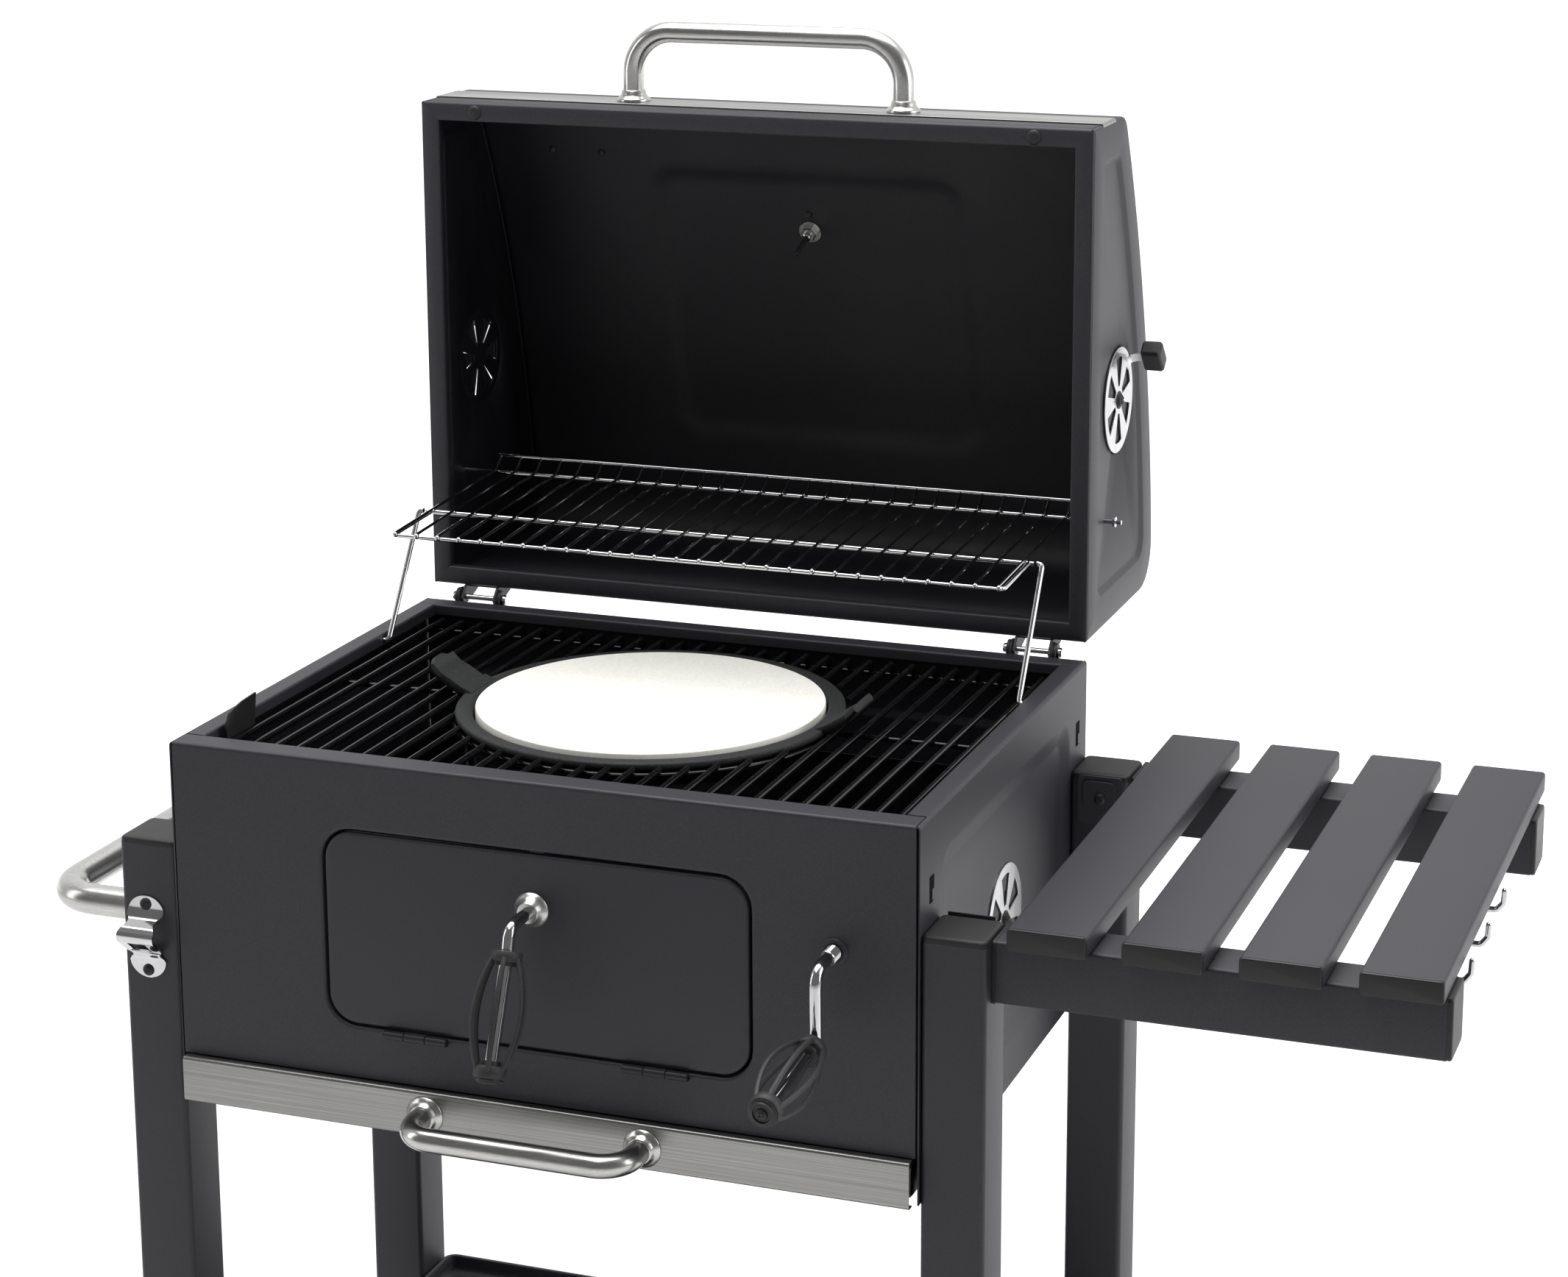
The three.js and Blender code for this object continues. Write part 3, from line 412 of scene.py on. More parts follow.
# ------------------------------------------------------------------ axle and wheels
a, b = local_box("wheel_axle")
ax, az = (a.x + b.x) / 2, (a.z + b.z) / 2
piece("wheel_axle", lathe([(0, 0), (4, 0), (4.9, 1.2), (4.9, b.y - a.y - 1.2), (4, b.y - a.y), (0, b.y - a.y)],
        (ax, a.y, az), (0, 1, 0), 20), "frame", CHROME, "wheel_axle")
for end, body in (("front", "wheel_f"), ("rear", "wheel_r")):
    c, d = local_box("wheel_" + end)
    h, R, m = d.y - c.y, (d.z - c.z) / 2 - 0.1, (c.y + d.y) / 2
    tyre = [(69, 2), (72, 0.6), (79, 0.4), (83, 2.2), (R, 6), (R, 9), (R - 1.6, 9.6), (R - 1.6, 11), (R, 11.6),
            (R, h / 2 - 1.2), (R - 1.6, h / 2 - 0.7), (R - 1.6, h / 2 + 0.7), (R, h / 2 + 1.2)]
    tyre += [(r, h - y) for r, y in reversed(tyre[:9])]
    rings = [[(ax + r * math.sin(q), c.y + y,
            az + r * math.cos(q)) for q in (2 * math.pi * k / 64 for k in range(64))] for r,
            y in tyre + [(69, h - 2), (67, h / 2), (69, 2)]]
    piece("tyre_" + end, loops(rings), body, TYRE, "wheel_" + end)
    rim = [(69.5, 3), (69.5, h - 3), (66, h - 3.5), (63, h - 8), (63, 8), (66, 3.5), (69.5, 3)]
    hub = [(6, 1.5), (17, 1.5), (20, 4), (20, h - 4), (17, h - 1.5), (6, h - 1.5), (6, 1.5)]
    parts = [loops([[(ax + r * math.sin(2 * math.pi * k / 48), c.y + y,
            az + r * math.cos(2 * math.pi * k / 48)) for k in range(48)] for r, y in p]) for p in (rim, hub)]
    for k in range(6):
        q = math.pi / 3 * k
        u, w = Vector((math.sin(q), 0, math.cos(q))), Vector((math.cos(q), 0, -math.sin(q)))
        spoke = [[Vector((ax, 0, az)) + u * r + w * s * wd + Vector((0, y, 0)) for s,
                y in ((-1, m - hh), (1, m - hh), (1, m + hh), (-1, m + hh))] for r, wd,
                hh in ((18, 8, 10), (40, 6, 8), (65, 8, 10))]
        parts.append(loops(spoke, True, True))
    piece("wheel_disc_" + end, merge(*parts), body, PLASTIC, bevel=0.8)

# ------------------------------------------------------------------ firebox
PANEL_TOP = -2.5
DOOR = (-179.0, 179.0, -217.0, -54.0)
outer = rrect(-307, 307, -259, PANEL_TOP, 0)
hole = [(rrect(DOOR[0] - g, DOOR[1] + g, DOOR[2] - g, DOOR[3] + g, 26 + g, 6), y) for g,
        y in ((2.4, -2.0), (1.0, -1.6), (0.2, -0.7), (0.0, 0.6), (0.0, 5.0))]
front = flat_loops("y", [(outer, -2.0)] + hole)
edge = fillet2([(-2, PANEL_TOP), (-2, 0), (21, 0), (21, -7)], [0, 2.4, 1.6, 0], 5)
top = [[(x, u, v) for u, v in edge] for x in (-307, 307)]
k = len(edge)
flange = ([p for r in top for p in r], [[i, i + 1, k + i + 1, k + i] for i in range(k - 1)])
returns = [([(s * 307, -2, -259), (s * 307, -2, PANEL_TOP), (s * 307, 6, PANEL_TOP), (s * 307, 6, -259)],
        [[0, 1, 2, 3]]) for s in (-1, 1)]
piece("firebox_front", merge(front, flange, *returns), "frame", PAINT, "firebox_front", thick=1.2,
        bevel=0.7, sharp=50)

FV, LV = (227.5, -152.5), (565.0, 204.0)
WEDGE = math.radians(15.6)


def wedge(c, k, r0, r1, a=0.0):
    q, n = a + math.pi / 3 * k + math.pi / 6, 5
    arc = [(c[0] + r1 * math.cos(q + WEDGE * t),
            c[1] + r1 * math.sin(q + WEDGE * t)) for t in [-1 + 2 * i / n for i in range(n + 1)]]
    return arc + [(c[0] + r0 * math.cos(q + WEDGE * 0.8), c[1] + r0 * math.sin(q + WEDGE * 0.8)),
            (c[0] + r0 * math.cos(q - WEDGE * 0.8), c[1] + r0 * math.sin(q - WEDGE * 0.8))]


def slope(o0, o1, x0, x1, steps=((0, 0), (0.1, 0.04), (0.25, 0.18), (0.75, 0.82), (0.9, 0.96), (1, 1))):
    """A pressed slope from outline o0 at depth x0 to outline o1 at depth x1."""
    return [([(a[0] + (b[0] - a[0]) * t, a[1] + (b[1] - a[1]) * t) for a, b in zip(o0, o1)],
            x0 + (x1 - x0) * d) for t, d in steps]


for side, s in SIDES:
    X, wall = 309.5, rrect(-1.5, 455, -296.6, -3, 0)
    lines = slope(rrect(49, 406, -262, -34.5, 25), rrect(70.5, 384.5, -242, -54.5, 10), X, X - 4)
    shape = flat_loops("x", [(wall, X)] + lines + [(ring_like(FV, 42, lines[-1][0]), X - 4)])
    lip = fillet2([(X, -3), (X, 0), (292, 0), (292, -9)], [0, 2.8, 1.6, 0], 5)
    k = len(lip)
    rim = ([(u, y, v) for y in (21.6, 435.4) for u, v in lip], [[i, i + 1, k + i + 1, k + i] for i in range(k - 1)])
    for y0, y1 in ((-1.5, 21.6), (435.4, 455)):
        edge = [q for q in lip if q[0] > 307.4] + [(307.4, 0)]
        j = len(edge)
        rim = merge(rim, ([(u, y, v) for y in (y0, y1) for u, v in edge],
                [[i, i + 1, j + i + 1, j + i] for i in range(j - 1)]))
    o = piece("firebox_side_" + side, mirror(merge(shape, rim), s), "frame", PAINT,
            "firebox_side_" + side, thick=1.2, bevel=0.5, sharp=50)
    disc = plate("x", ring(FV, 43, 48), [wedge(FV, k, 13, 37, math.pi / 6) for k in range(6)], X - 5, X - 3.9)
    piece("firebox_vent_seat_" + side, mirror(disc, s), "frame", PAINT)
    for end, y0, y1 in (("front", 21, 32), ("rear", 423, 434)):
        # the slots are not cut: each is a thin near-black sheet on the wall, painted shade standing in for the dark
        # opening
        well = rrect(y0, y1, -67, -46, 1.2, 3)
        piece(f"slot_{end}_{side}", mirror(flat_loops("x", [(well, X + 0.75), (well, X + 0.65)], True, True), s),
                "frame", SHADE)
        tongue = rrect(y0 + 5.5, y1 - 1.2, -65.8, -57, 1, 3)
        piece(f"slot_tab_{end}_{side}", mirror(prism("x", tongue, X + 0.7, X + 1.1), s), "frame", PAINT)

a, b = local_box("firebox_rear")
rear = flat_loops("y", [(rrect(-308.6, 308.6, a.z, -3, 0), 454.4),
        (rrect(-280, 280, a.z + 30, -60, 14), 454.4)] + slope(rrect(-280, 280, a.z + 30, -60, 14),
        rrect(-272, 272, a.z + 38, -68, 8), 454.4, 451.6), False, True)
edge = fillet2([(454.4, -3), (454.4, 0), (436, 0), (436, -9)], [0, 2.4, 1.6, 0], 5)
k = len(edge)
lip = ([(x, u, v) for x in (-307.2, 307.2) for u, v in edge], [[i, i + 1, k + i + 1, k + i] for i in range(k - 1)])
piece("firebox_rear", merge(rear, lip), "frame", PAINT, "firebox_rear", thick=1.2, bevel=0.5,
        sharp=50)

# ------------------------------------------------------------------ front door and its hinges
DOOR_GAP = 2.8
d = (DOOR[0] + DOOR_GAP, DOOR[1] - DOOR_GAP, DOOR[2] + DOOR_GAP, DOOR[3] - DOOR_GAP)
panel = [(rrect(d[0] + g, d[1] - g, d[2] + g, d[3] - g, 23.5 - g, 10), y) for g,
        y in ((0.0, 3.0), (0.0, -0.2), (0.5, -1.2), (1.5, -1.85), (3.0, -2.05))]
piece("front_door", flat_loops("y", panel, True, True), "door", PAINT, "front_door", sharp=60)
HY, HZ = -5.6, -218.5
for side, s in SIDES:
    c = s * 100.7
    cyl = lambda x0, x1, r: lathe([(0, 0), (r - 0.4, 0), (r, 0.4), (r, x1 - x0 - 0.4), (r - 0.4, x1 - x0),
            (0, x1 - x0)], (x0, HY, HZ), (1, 0, 0), 20)
    leaf = [slab(c + x0, c + x1, -5.2, -2.2, HZ - 3.2, HZ) for x0, x1 in ((-27, -9.4), (9.4, 27))]
    piece("door_hinge_" + side, merge(cyl(c - 27, c - 9.3, 3.3), cyl(c + 9.3, c + 27, 3.3), *leaf), "frame", PAINTED_SHADE_AND_HINGE_COAT,
            "door_hinge_" + side, bevel=0.3)
    knuckle = merge(cyl(c - 9, c + 9, 3.3), slab(c - 9, c + 9, -5.0, -2.0, HZ, HZ + 3.4))
    piece("door_knuckle_" + side, knuckle, "door", PAINTED_SHADE_AND_HINGE_COAT, bevel=0.3)

# ------------------------------------------------------------------ latch handle and crank, with their cage grips
LZ, CX, CZ = -100.8, 244.0, -103.8
rose = [(6, 0), (14.4, 0), (14.6, 1.2), (14.0, 2.4), (12.4, 4.0), (10.2, 6.4), (9.0, 9.0), (8.2, 10.0), (6, 10.2)]
piece("latch_rose", lathe(rose, (0, -2.1, LZ), (0, -1, 0), 40), "door", SATIN)


def grip(prefix, a, b, body, node):
    a, b = Vector(a), Vector(b)
    u = (b - a).normalized()
    L = (b - a).length
    v = Vector((1, 0, 0))
    v = (v - u * v.dot(u)).normalized()
    w = u.cross(v)
    collar = lambda h0, h1, r: lathe([(5, h0), (r - 1, h0), (r, h0 + 1), (r, h1 - 1), (r - 1, h1), (5, h1)], a, u,
            32)
    parts = [collar(0, 8, 12.2), collar(L - 9.5, L, 12.4),
            lathe([(5, L - 13), (8, L - 13), (8.6, L - 9), (5, L - 9)], a, u, 24),
            lathe([(5, 7.5), (8.6, 7.5), (8, 11), (5, 11)], a, u, 24)]
    for k in range(6):
        q = math.pi / 3 * k + 0.25
        rib = []
        for i in range(15):
            t = i / 14
            r = 10.6 + 9.6 * math.sin(math.pi * t) ** 0.85
            rib.append(a + u * (5 + (L - 11) * t) + (v * math.cos(q) + w * math.sin(q)) * r)
        parts.append(tube(rib, 2.1, 8))
    piece(prefix + "_grip", merge(*parts), body, SILICONE, node, sharp=45)
    piece(prefix + "_core", tube([a - u * 0.2, a + u * 3, b - u * 3, b + u * 1.5], 5.2, 20), body, CHROME)
    piece(prefix + "_end", lathe([(0, L), (11, L), (11.4, L + 1.4), (9.4, L + 2.2), (9.0, L + 3.4), (6.8, L + 3.8),
            (6.6, L + 2.6), (0, L + 2.6)], a, u, 32), body, PLASTIC)
    piece(prefix + "_end_screw", screw(a + u * (L + 2.4), u, 4.6), body, PLASTIC)
    return a, u


a, u = grip("latch", (0, -48, LZ - 17), (0, -85.5, LZ - 104), "latch", "door_latch_grip")
path = fillet([(0, 14, LZ), (0, -43.5, LZ), a - u * 0.2], 11, 10)
piece("latch_rod", tube(path, 4.9, 20), "latch", CHROME, "door_latch_rod")
piece("latch_tongue", prism("x", rrect(9, 12, LZ - 5, LZ + 43, 1.4, 4), -6, 6), "latch", CHROME)

a, u = grip("crank", (CX, -51, CZ - 57), (CX - 3, -145, CZ - 68.6), "crank", "crank_grip")
path = fillet([(CX, 150, CZ), (CX, -44, CZ), (CX, -43, CZ - 56.4), a - u * 0.2], [0, 13, 6.5, 0], 10)
piece("crank_rod", tube(path, 4.9, 20), "crank", CHROME, "crank_rod")
thread = [(5.0, 0)] + [p for k in range(7) for p in ((6.0, 1.0 + 2.0 * k), (5.1, 2.0 + 2.0 * k))] + [(5.0, 15)]
piece("crank_thread", lathe(thread, (CX, -3.6, CZ), (0, -1, 0), 28), "crank", CHROME, sharp=60)
piece("crank_washer", lathe([(7.4, 0), (10.8, 0), (11.0, 0.6), (10.4, 1.3), (8.2, 1.6), (7.4, 1.4), (7.4, 0)],
        (CX, -2.6, CZ), (0, -1, 0), 36), "frame", PAINT)

# ------------------------------------------------------------------ ash drawer
path = fillet2([(-2.8, -260.8), (-9.6, -260.8), (-9.6, -296.2), (-2.8, -296.2)], [0, 1.6, 1.6, 0], 5)
piece("drawer_front", strip("x", path, -1.1, -305.3, 305.3), "drawer", STEEL_X, "drawer_front",
        bevel=0.25)
a, b = local_box("ash_tray")
tray = [(0.0, b.z), (0.4, b.z - 6), (1.0, a.z + 5), (3.5, a.z + 1.2), (9, a.z + 0.8)]
rings = [[(u, v, h) for u, v in rrect(a.x + i, b.x - i, a.y + i, b.y - i, 6, 4)] for i, h in tray]
piece("ash_tray", loops(rings, False, True), "drawer", ENAMEL, "ash_tray", thick=1.2)


def u_handle(prefix, feet, out, run, bend, r, body, node, ferrule):
    up = Vector(out)
    path = fillet([feet[0], Vector(feet[0]) + up * run, Vector(feet[1]) + up * run, feet[1]], bend, 14)
    piece(prefix, tube(path, r, 32), body, SATIN, node)
    for k, f in enumerate(feet):
        piece(f"{prefix}_ferrule_{k + 1}", lathe(ferrule, f, up, 40), body, SATIN)


u_handle("drawer_handle", [(-91.6, -10, -279), (91.6, -10, -279)], (0, -1, 0), 42.2, 24, 9.3, "drawer",
        "drawer_handle",
         [(8, 0), (15.6, 0), (15.8, 1.0), (15.2, 2.2), (13.2, 3.6), (11.2, 5.6), (10.4, 8.0), (9.6, 8.6), (8, 8.6)])
z0 = local_box("lid_handle")[0].z
u_handle("lid_handle", [(-124.5, 516, z0), (124.5, 516, z0)], (0, 0, 1), 60.8, 37, 9.2, "lid", "lid_handle",
         [(8, -0.2), (14.6, -0.2), (14.8, 1.2), (14.2, 2.4), (12.4, 3.8), (11.0, 6.0), (10.4, 9.0), (9.6, 9.8),
                 (8, 9.8)])

# ------------------------------------------------------------------ push handle
a, b = local_box("push_handle")
x0, xo = b.x, a.x + 12.6
path = fillet([(x0, 25, -151), (xo, 25, -151), (xo, 433, -151), (x0, 433, -151)], 38, 16)
piece("push_handle", tube(path, 12.5, 36), "frame", SATIN, "push_handle")
for k, y in enumerate((25, 433)):
    piece(f"push_handle_collar_{k + 1}", lathe([(12.2, 0), (15.5, 0), (15.5, 1.8), (14.6, 3.0), (12.6, 3.4),
            (12.2, 3.2)], (x0, y, -151), (-1, 0, 0), 40), "frame", PLASTIC)

# ------------------------------------------------------------------ bottle opener: a wavy plate with two lobes
OX, n = -338.0, 28
prof = [(-0.6, -131), (-0.8, -143), (-6, -149), (-16, -154), (-21, -158.5), (-20.4, -163.5), (-13, -170),
        (-5, -177), (-1.2, -183), (-0.6, -200)]
prof = fillet2(prof, [0, 6, 10, 8, 3.5, 3.5, 8, 10, 6, 0], 5)
fine = [prof[0]]
for (y0, z0), (y1, z1) in zip(prof, prof[1:]):
    n_ = max(1, math.ceil(math.hypot(y1 - y0, z1 - z0) / 1.2))
    fine += [(y0 + (y1 - y0) * i / n_, z0 + (z1 - z0) * i / n_) for i in range(1, n_ + 1)]
rows = []
for y, z in fine:
    t = (z + 165.5) / 34.5
    half = 16.2 * math.sqrt(max(0.0, 1 - max(0.0,
            abs(t) - 0.56) ** 2 / 0.44 ** 2)) if abs(t) > 0.56 else 16.2 - 4.2 * math.exp(-((abs(t) - 0.42) / 0.1) ** 2)
    half = max(half, 2.0)
    rows.append([(OX - half + 2 * half * j / n, y, z) for j in range(n + 1)])
pts = [p for r in rows for p in r]
faces = [[i * (n + 1) + j, i * (n + 1) + j + 1, (i + 1) * (n + 1) + j + 1,
        (i + 1) * (n + 1) + j] for i in range(len(rows) - 1) for j in range(n)]
slot_z = (-175.0, -165.0)
faces = [f for f in faces if not (
    slot_z[0] < sum(pts[i][2] for i in f) / 4 < slot_z[1]
    and abs(sum(pts[i][0] for i in f) / 4 - OX) < 8.5)]
piece("bottle_opener", (pts, faces), "frame", CHROME, "bottle_opener", thick=1.5, bevel=0.25)
for k, z in enumerate((-138, -193.5)):
    piece(f"opener_screw_{k + 1}", screw((OX, -1.2, z), (0, -1, 0), 5.0), "frame", PLASTIC)

# ------------------------------------------------------------------ side table
for end in ("front", "rear"):
    a, b = local_box("table_rail_" + end)
    piece("rail_" + end, prism("x", rrect(a.y, b.y, a.z, b.z, 3, 4), a.x, b.x - 4.2), "frame", PAINT,
            "table_rail_" + end)
    cap = [(0.1, b.x - 4.1), (0.1, b.x - 1.4), (0.6, b.x - 0.5), (1.8, b.x), (4, b.x)]
    piece("rail_cap_" + end, flat_loops("x", [(rrect(a.y + i, b.y - i, a.z + i, b.z - i, 4, 4), x) for i, x in cap],
            True, True), "frame", PLASTIC)
    piece("rail_shoe_" + end, flat_loops("x", [(rrect(a.y - 0.8, b.y + 0.8, a.z - 0.8, b.z + 0.3, 3.5, 4),
            x) for x in (a.x, a.x + 2.4)], True, True), "frame", PLASTIC)
for i in range(4):
    node = f"table_slat_{i + 1}"
    a, b = local_box(node)
    piece(node, prism("y", rrect(a.x, b.x, a.z, b.z, 2.6, 4), a.y + 2.4, b.y - 2.4), "frame", PAINT,
            node)
    for e, y, s in (("front", a.y, 1), ("rear", b.y, -1)):
        cap = [(0.1, y + s * 2.3), (0.1, y + s * 1.0), (0.5, y + s * 0.3), (1.3, y)]
        piece(f"{node}_cap_{e}", flat_loops("y", [(rrect(a.x + q, b.x - q, a.z + q, b.z - q, 2.8, 4), h) for q,
                h in cap], True, True), "frame", PLASTIC)
a, b = local_box("tool_hooks")
hook = lambda y: tube(fillet([(679, y, b.z - 1.5), (679, y, b.z - 12), (684, y, b.z - 17.5), (692, y, b.z - 17.3),
        (696.8, y, b.z - 11), (697.2, y, b.z - 1.6)], 5, 5), 2.4, 14)
piece("tool_hooks", merge(slab(671, 683, 84, 254, b.z - 2.3, b.z),
        *[merge(hook(y), ball((697.2, y, b.z - 1.6), 2.4)) for y in (92, 169, 246)]), "frame", CHROME,
        "tool_hooks")

# brackets of the table by the right legs
bracket = plate("y", rrect(317, 356, -127, -85, 4, 4), [], 405.6, 407.2)
piece("rear_bracket", merge(bracket, plate("y", rrect(322, 350, -112, -89, 5, 4), [], 403.6, 405.4)), "frame",
        PAINT, bevel=0.3)
piece("rear_bracket_screw", screw((337, 403.6, -104), (0, -1, 0), 5.0), "frame", PLASTIC)
piece("front_tab", slab(315, 352, 50.6, 52.2, -96, -82), "frame", PAINT, bevel=0.4)

# ------------------------------------------------------------------ cooking grate, stone and carrier
GZ, GR, NB, SX, SY = -11.0, 161.0, 30, 0.0, 238.0
GRATE_PITCH = 19.3
a, b = local_box("cooking_grate")
GY0, GY1 = a.y + 2.8, b.y - 2.8
bars = []
for k in range(NB):
    x = (k - (NB - 1) / 2) * GRATE_PITCH
    inner = math.sqrt(max(0.0, (GR + 1.0) ** 2 - x * x)) if abs(x) < GR else 0
    ends = fillet([(x, GY0, GZ - 9.5), (x, GY0, GZ), (x, GY1, GZ), (x, GY1, GZ - 9.5)], 6, 5)
    if abs(x) < GR - 3:
        cut0, cut1 = SY - inner, SY + inner
        bars.append(tube([p for p in ends if p.y < cut0] + [(x, cut0, GZ)], 2.7, 10))
        bars.append(tube([(x, cut1, GZ)] + [p for p in ends if p.y > cut1], 2.7, 10))
    else:
        bars.append(tube(ends, 2.7, 10))
cross = [tube([(a.x + 0.4, y, GZ - 10.6), (b.x - 0.4, y, GZ - 10.6)], 2.2, 10) for y in (GY0, GY1)]
cross += [tube([(s * (GR - 1), SY, GZ - 4.8), (s * 281.5, SY, GZ - 4.8)], 2.3, 10) for s in (-1, 1)]
hoop = tube([(SX + GR * math.cos(q), SY + GR * math.sin(q),
        GZ - 4.9) for q in (2 * math.pi * i / 96 for i in range(96))], 2.6, 10, True)
piece("cooking_grate", merge(*bars, *cross, hoop), "grate", ENAMEL, "cooking_grate")
tx = -(NB - 1) / 2 * GRATE_PITCH - 6
tab = fillet2([(45, GZ - 3), (43.5, GZ + 12), (50, GZ + 24), (64, GZ + 28.5), (86, GZ + 30.5), (88.5, GZ - 2)],
        [0, 8, 10, 8, 2, 0], 5)
blade = plate("x", tab, [], tx, tx + 1.6)
pts = [(x + 5.5 * max(0.0, (z - GZ - 16) / 15) ** 2, y, z) for x, y, z in blade[0]]
piece("grate_lift_tab", (pts, blade[1]), "grate", PLASTIC, bevel=0.3)

top = -6.5
dish = [(0, top - 21.5), (148, top - 21.5), (151, top - 19), (153.5, top - 8), (156, top - 6.6), (159.0, top - 6.0),
        (160.0, top - 4.6), (159.8, top - 1.2), (158.6, top), (148.2, top), (146.4, top - 1.2), (145.6, top - 3),
        (145.2, top - 15.4), (0, top - 15.4)]
dish_shape = lathe(dish, (SX, SY, 0), (0, 0, 1), 96)
wing = []
for s in (-1, 1):
    spine = fillet([(151, 0, top - 3.6), (160, 0, top + 0.5), (178, 0, top + 12), (186.5, 0, top + 21.5),
            (189.0, 0, top + 24.5)], [0, 8, 30, 10, 0], 5)
    rings = []
    for i, p in enumerate(spine):
        t = i / (len(spine) - 1)
        tilt = math.radians(40) if t > 0.1 else 0.0
        half = 21 + 3 * (1 - t) ** 3 if t < 0.8 else 21 * math.sqrt(max(0.12, 1 - ((t - 0.8) / 0.2) ** 2 * 0.9))
        th = 3.9 - 1.2 * t
        nrm = Vector((-math.sin(tilt), 0, math.cos(tilt)))
        cs = [(-half, 0), (-half + 1.6, 1), (half - 1.6, 1), (half, 0), (half - 1.6, -1), (-half + 1.6, -1)]
        rings.append([(s * (p.x + nrm.x * h * th), SY + w - 10 * t, p.z + nrm.z * h * th) for w, h in cs])
    wing.append(loops(rings, True, True))
piece("stone_carrier", merge(dish_shape, *wing), "carrier", IRON, "stone_carrier", sharp=50)
a, b = local_box("pizza_stone")
piece("pizza_stone", lathe([(0, a.z), (143, a.z), (143.6, a.z + 1), (143.6, b.z - 1.8), (143.1, b.z - 0.5),
        (141.9, b.z), (0, b.z)], (SX, SY, 0), (0, 0, 1), 128), "stone", STONE, "pizza_stone")

# ------------------------------------------------------------------ coal pan
a, b = local_box("coal_pan")
pan = [(0.3, b.z), (-0.0, b.z - 1.5), (0.8, b.z - 6), (6, a.z + 8), (10, a.z + 2), (16, a.z + 1)]
rings = [[(u, v, h) for u, v in rrect(a.x + i, b.x - i, a.y + i, b.y - i, 10, 5)] for i, h in pan]
floor_ = plate("z", rrect(a.x + 15, b.x - 15, a.y + 15, b.y - 15, 4, 5),
        [rrect(a.x + 36 + i * 72, a.x + 78 + i * 72, a.y + 34 + j * 60, a.y + 42 + j * 60, 3.5,
        4) for i in range(6) for j in range(6)], a.z, a.z + 1.4)
piece("coal_pan", merge(loops(rings), floor_), "pan", ENAMEL, "coal_pan", thick=0.8)

# ------------------------------------------------------------------ lid
LX, LY, LB, LT = 306.7, 465.0, 12.5, 451.0


def arc_y(z, off=0.0):
    return -359 + math.sqrt((1050 - off) ** 2 - (z + 39.2) ** 2)


def lid_outline(front_y, zb, zt, off, radii, m=12):
    """Closed outline of a lid side: bottom, curved back, top, front. Equal counts for every offset."""
    back = [(arc_y(zb + (zt - zb) * t, off),
            zb + (zt - zb) * t) for t in [0.14 + 0.76 * i / m for i in range(m + 1)]]
    corners = [(front_y, zb), (arc_y(zb, off), zb)] + back + [(arc_y(zt, off), zt), (front_y, zt)]
    return closed2(corners, [radii[0], radii[1]] + [0] * len(back) + [radii[2], radii[3]], 7)


LID_HEEL, LID_BROW = 38, 20
full = lid_outline(LY, LB, LT, 0, (0.4, LID_HEEL, LID_BROW, 0.4))
inset = lambda d: lid_outline(LY + d, LB + d, LT - d, d, (0.4, LID_HEEL - d, LID_BROW - d, 0.4))
for side, s in SIDES:
    step = slope(lid_outline(497, 41.5, 421, 29, (14, 20, 14, 12)), lid_outline(504, 48.5, 414, 36, (9, 15, 9, 8)),
            LX, LX - 3.2)
    edge = [(full, LX - 2.0), (inset(0.6), LX - 0.6), (inset(2.0), LX)]
    shape = flat_loops("x", edge + step + [(ring_like(LV, 43, step[-1][0]), LX - 3.2)])
    # the inner faces and the vent seat take the darker coat: painted shade for the dark inside of the lid
    piece("lid_side_" + side, mirror(shape, s), "lid", PAINT, "lid_side_" + side, thick=1.2,
            out=(s, 0, 0), inside=PAINTED_SHADE_AND_HINGE_COAT, offset=-1.0, sharp=50)
    disc = plate("x", ring(LV, 44, 48), [wedge(LV, k, 13, 37, math.pi / 6) for k in range(6)], LX - 4.4, LX - 3.1)
    piece("lid_vent_seat_" + side, mirror(disc, s), "lid", PAINTED_SHADE_AND_HINGE_COAT)

# the skin, with the pressed frame in its back
back = [(arc_y(z), z) for z in [56 + 6.2 * i for i in range(58)]]
line = [(LY + 3, LB), (arc_y(LB), LB)] + back + [(arc_y(LT), LT), (LY + 3, LT)]
line = fillet2(line, [0, LID_HEEL] + [0] * len(back) + [LID_BROW, 0], 8)
NX, HALF = 104, LX - 2.0
pts = []
for i, (y, z) in enumerate(line):
    a, b = Vector(line[max(i - 1, 0)]), Vector(line[min(i + 1, len(line) - 1)])
    t = (b - a).normalized()
    for j in range(NX + 1):
        x = -HALF + 2 * HALF * j / NX
        qx, qz = abs(x) - (145 - 22), abs(z - 251.5) - (126.5 - 22)
        d = math.hypot(max(qx, 0), max(qz, 0)) + min(max(qx, qz), 0) - 22
        f = min(max((6 - d) / 12, 0), 1)
        h = 2.6 * f * f * (3 - 2 * f) if y > 540 else 0
        pts.append((x, y + t.y * h, z - t.x * h))
faces = [[i * (NX + 1) + j, i * (NX + 1) + j + 1, (i + 1) * (NX + 1) + j + 1,
        (i + 1) * (NX + 1) + j] for i in range(len(line) - 1) for j in range(NX)]
# the inner face takes the darker coat: painted shade for the dark inside of the lid
piece("lid_skin", (pts, faces), "lid", PAINT, "lid_skin", thick=1.2, out=(0, 1, 0), inside=PAINTED_SHADE_AND_HINGE_COAT,
        offset=-1.0, sharp=60)

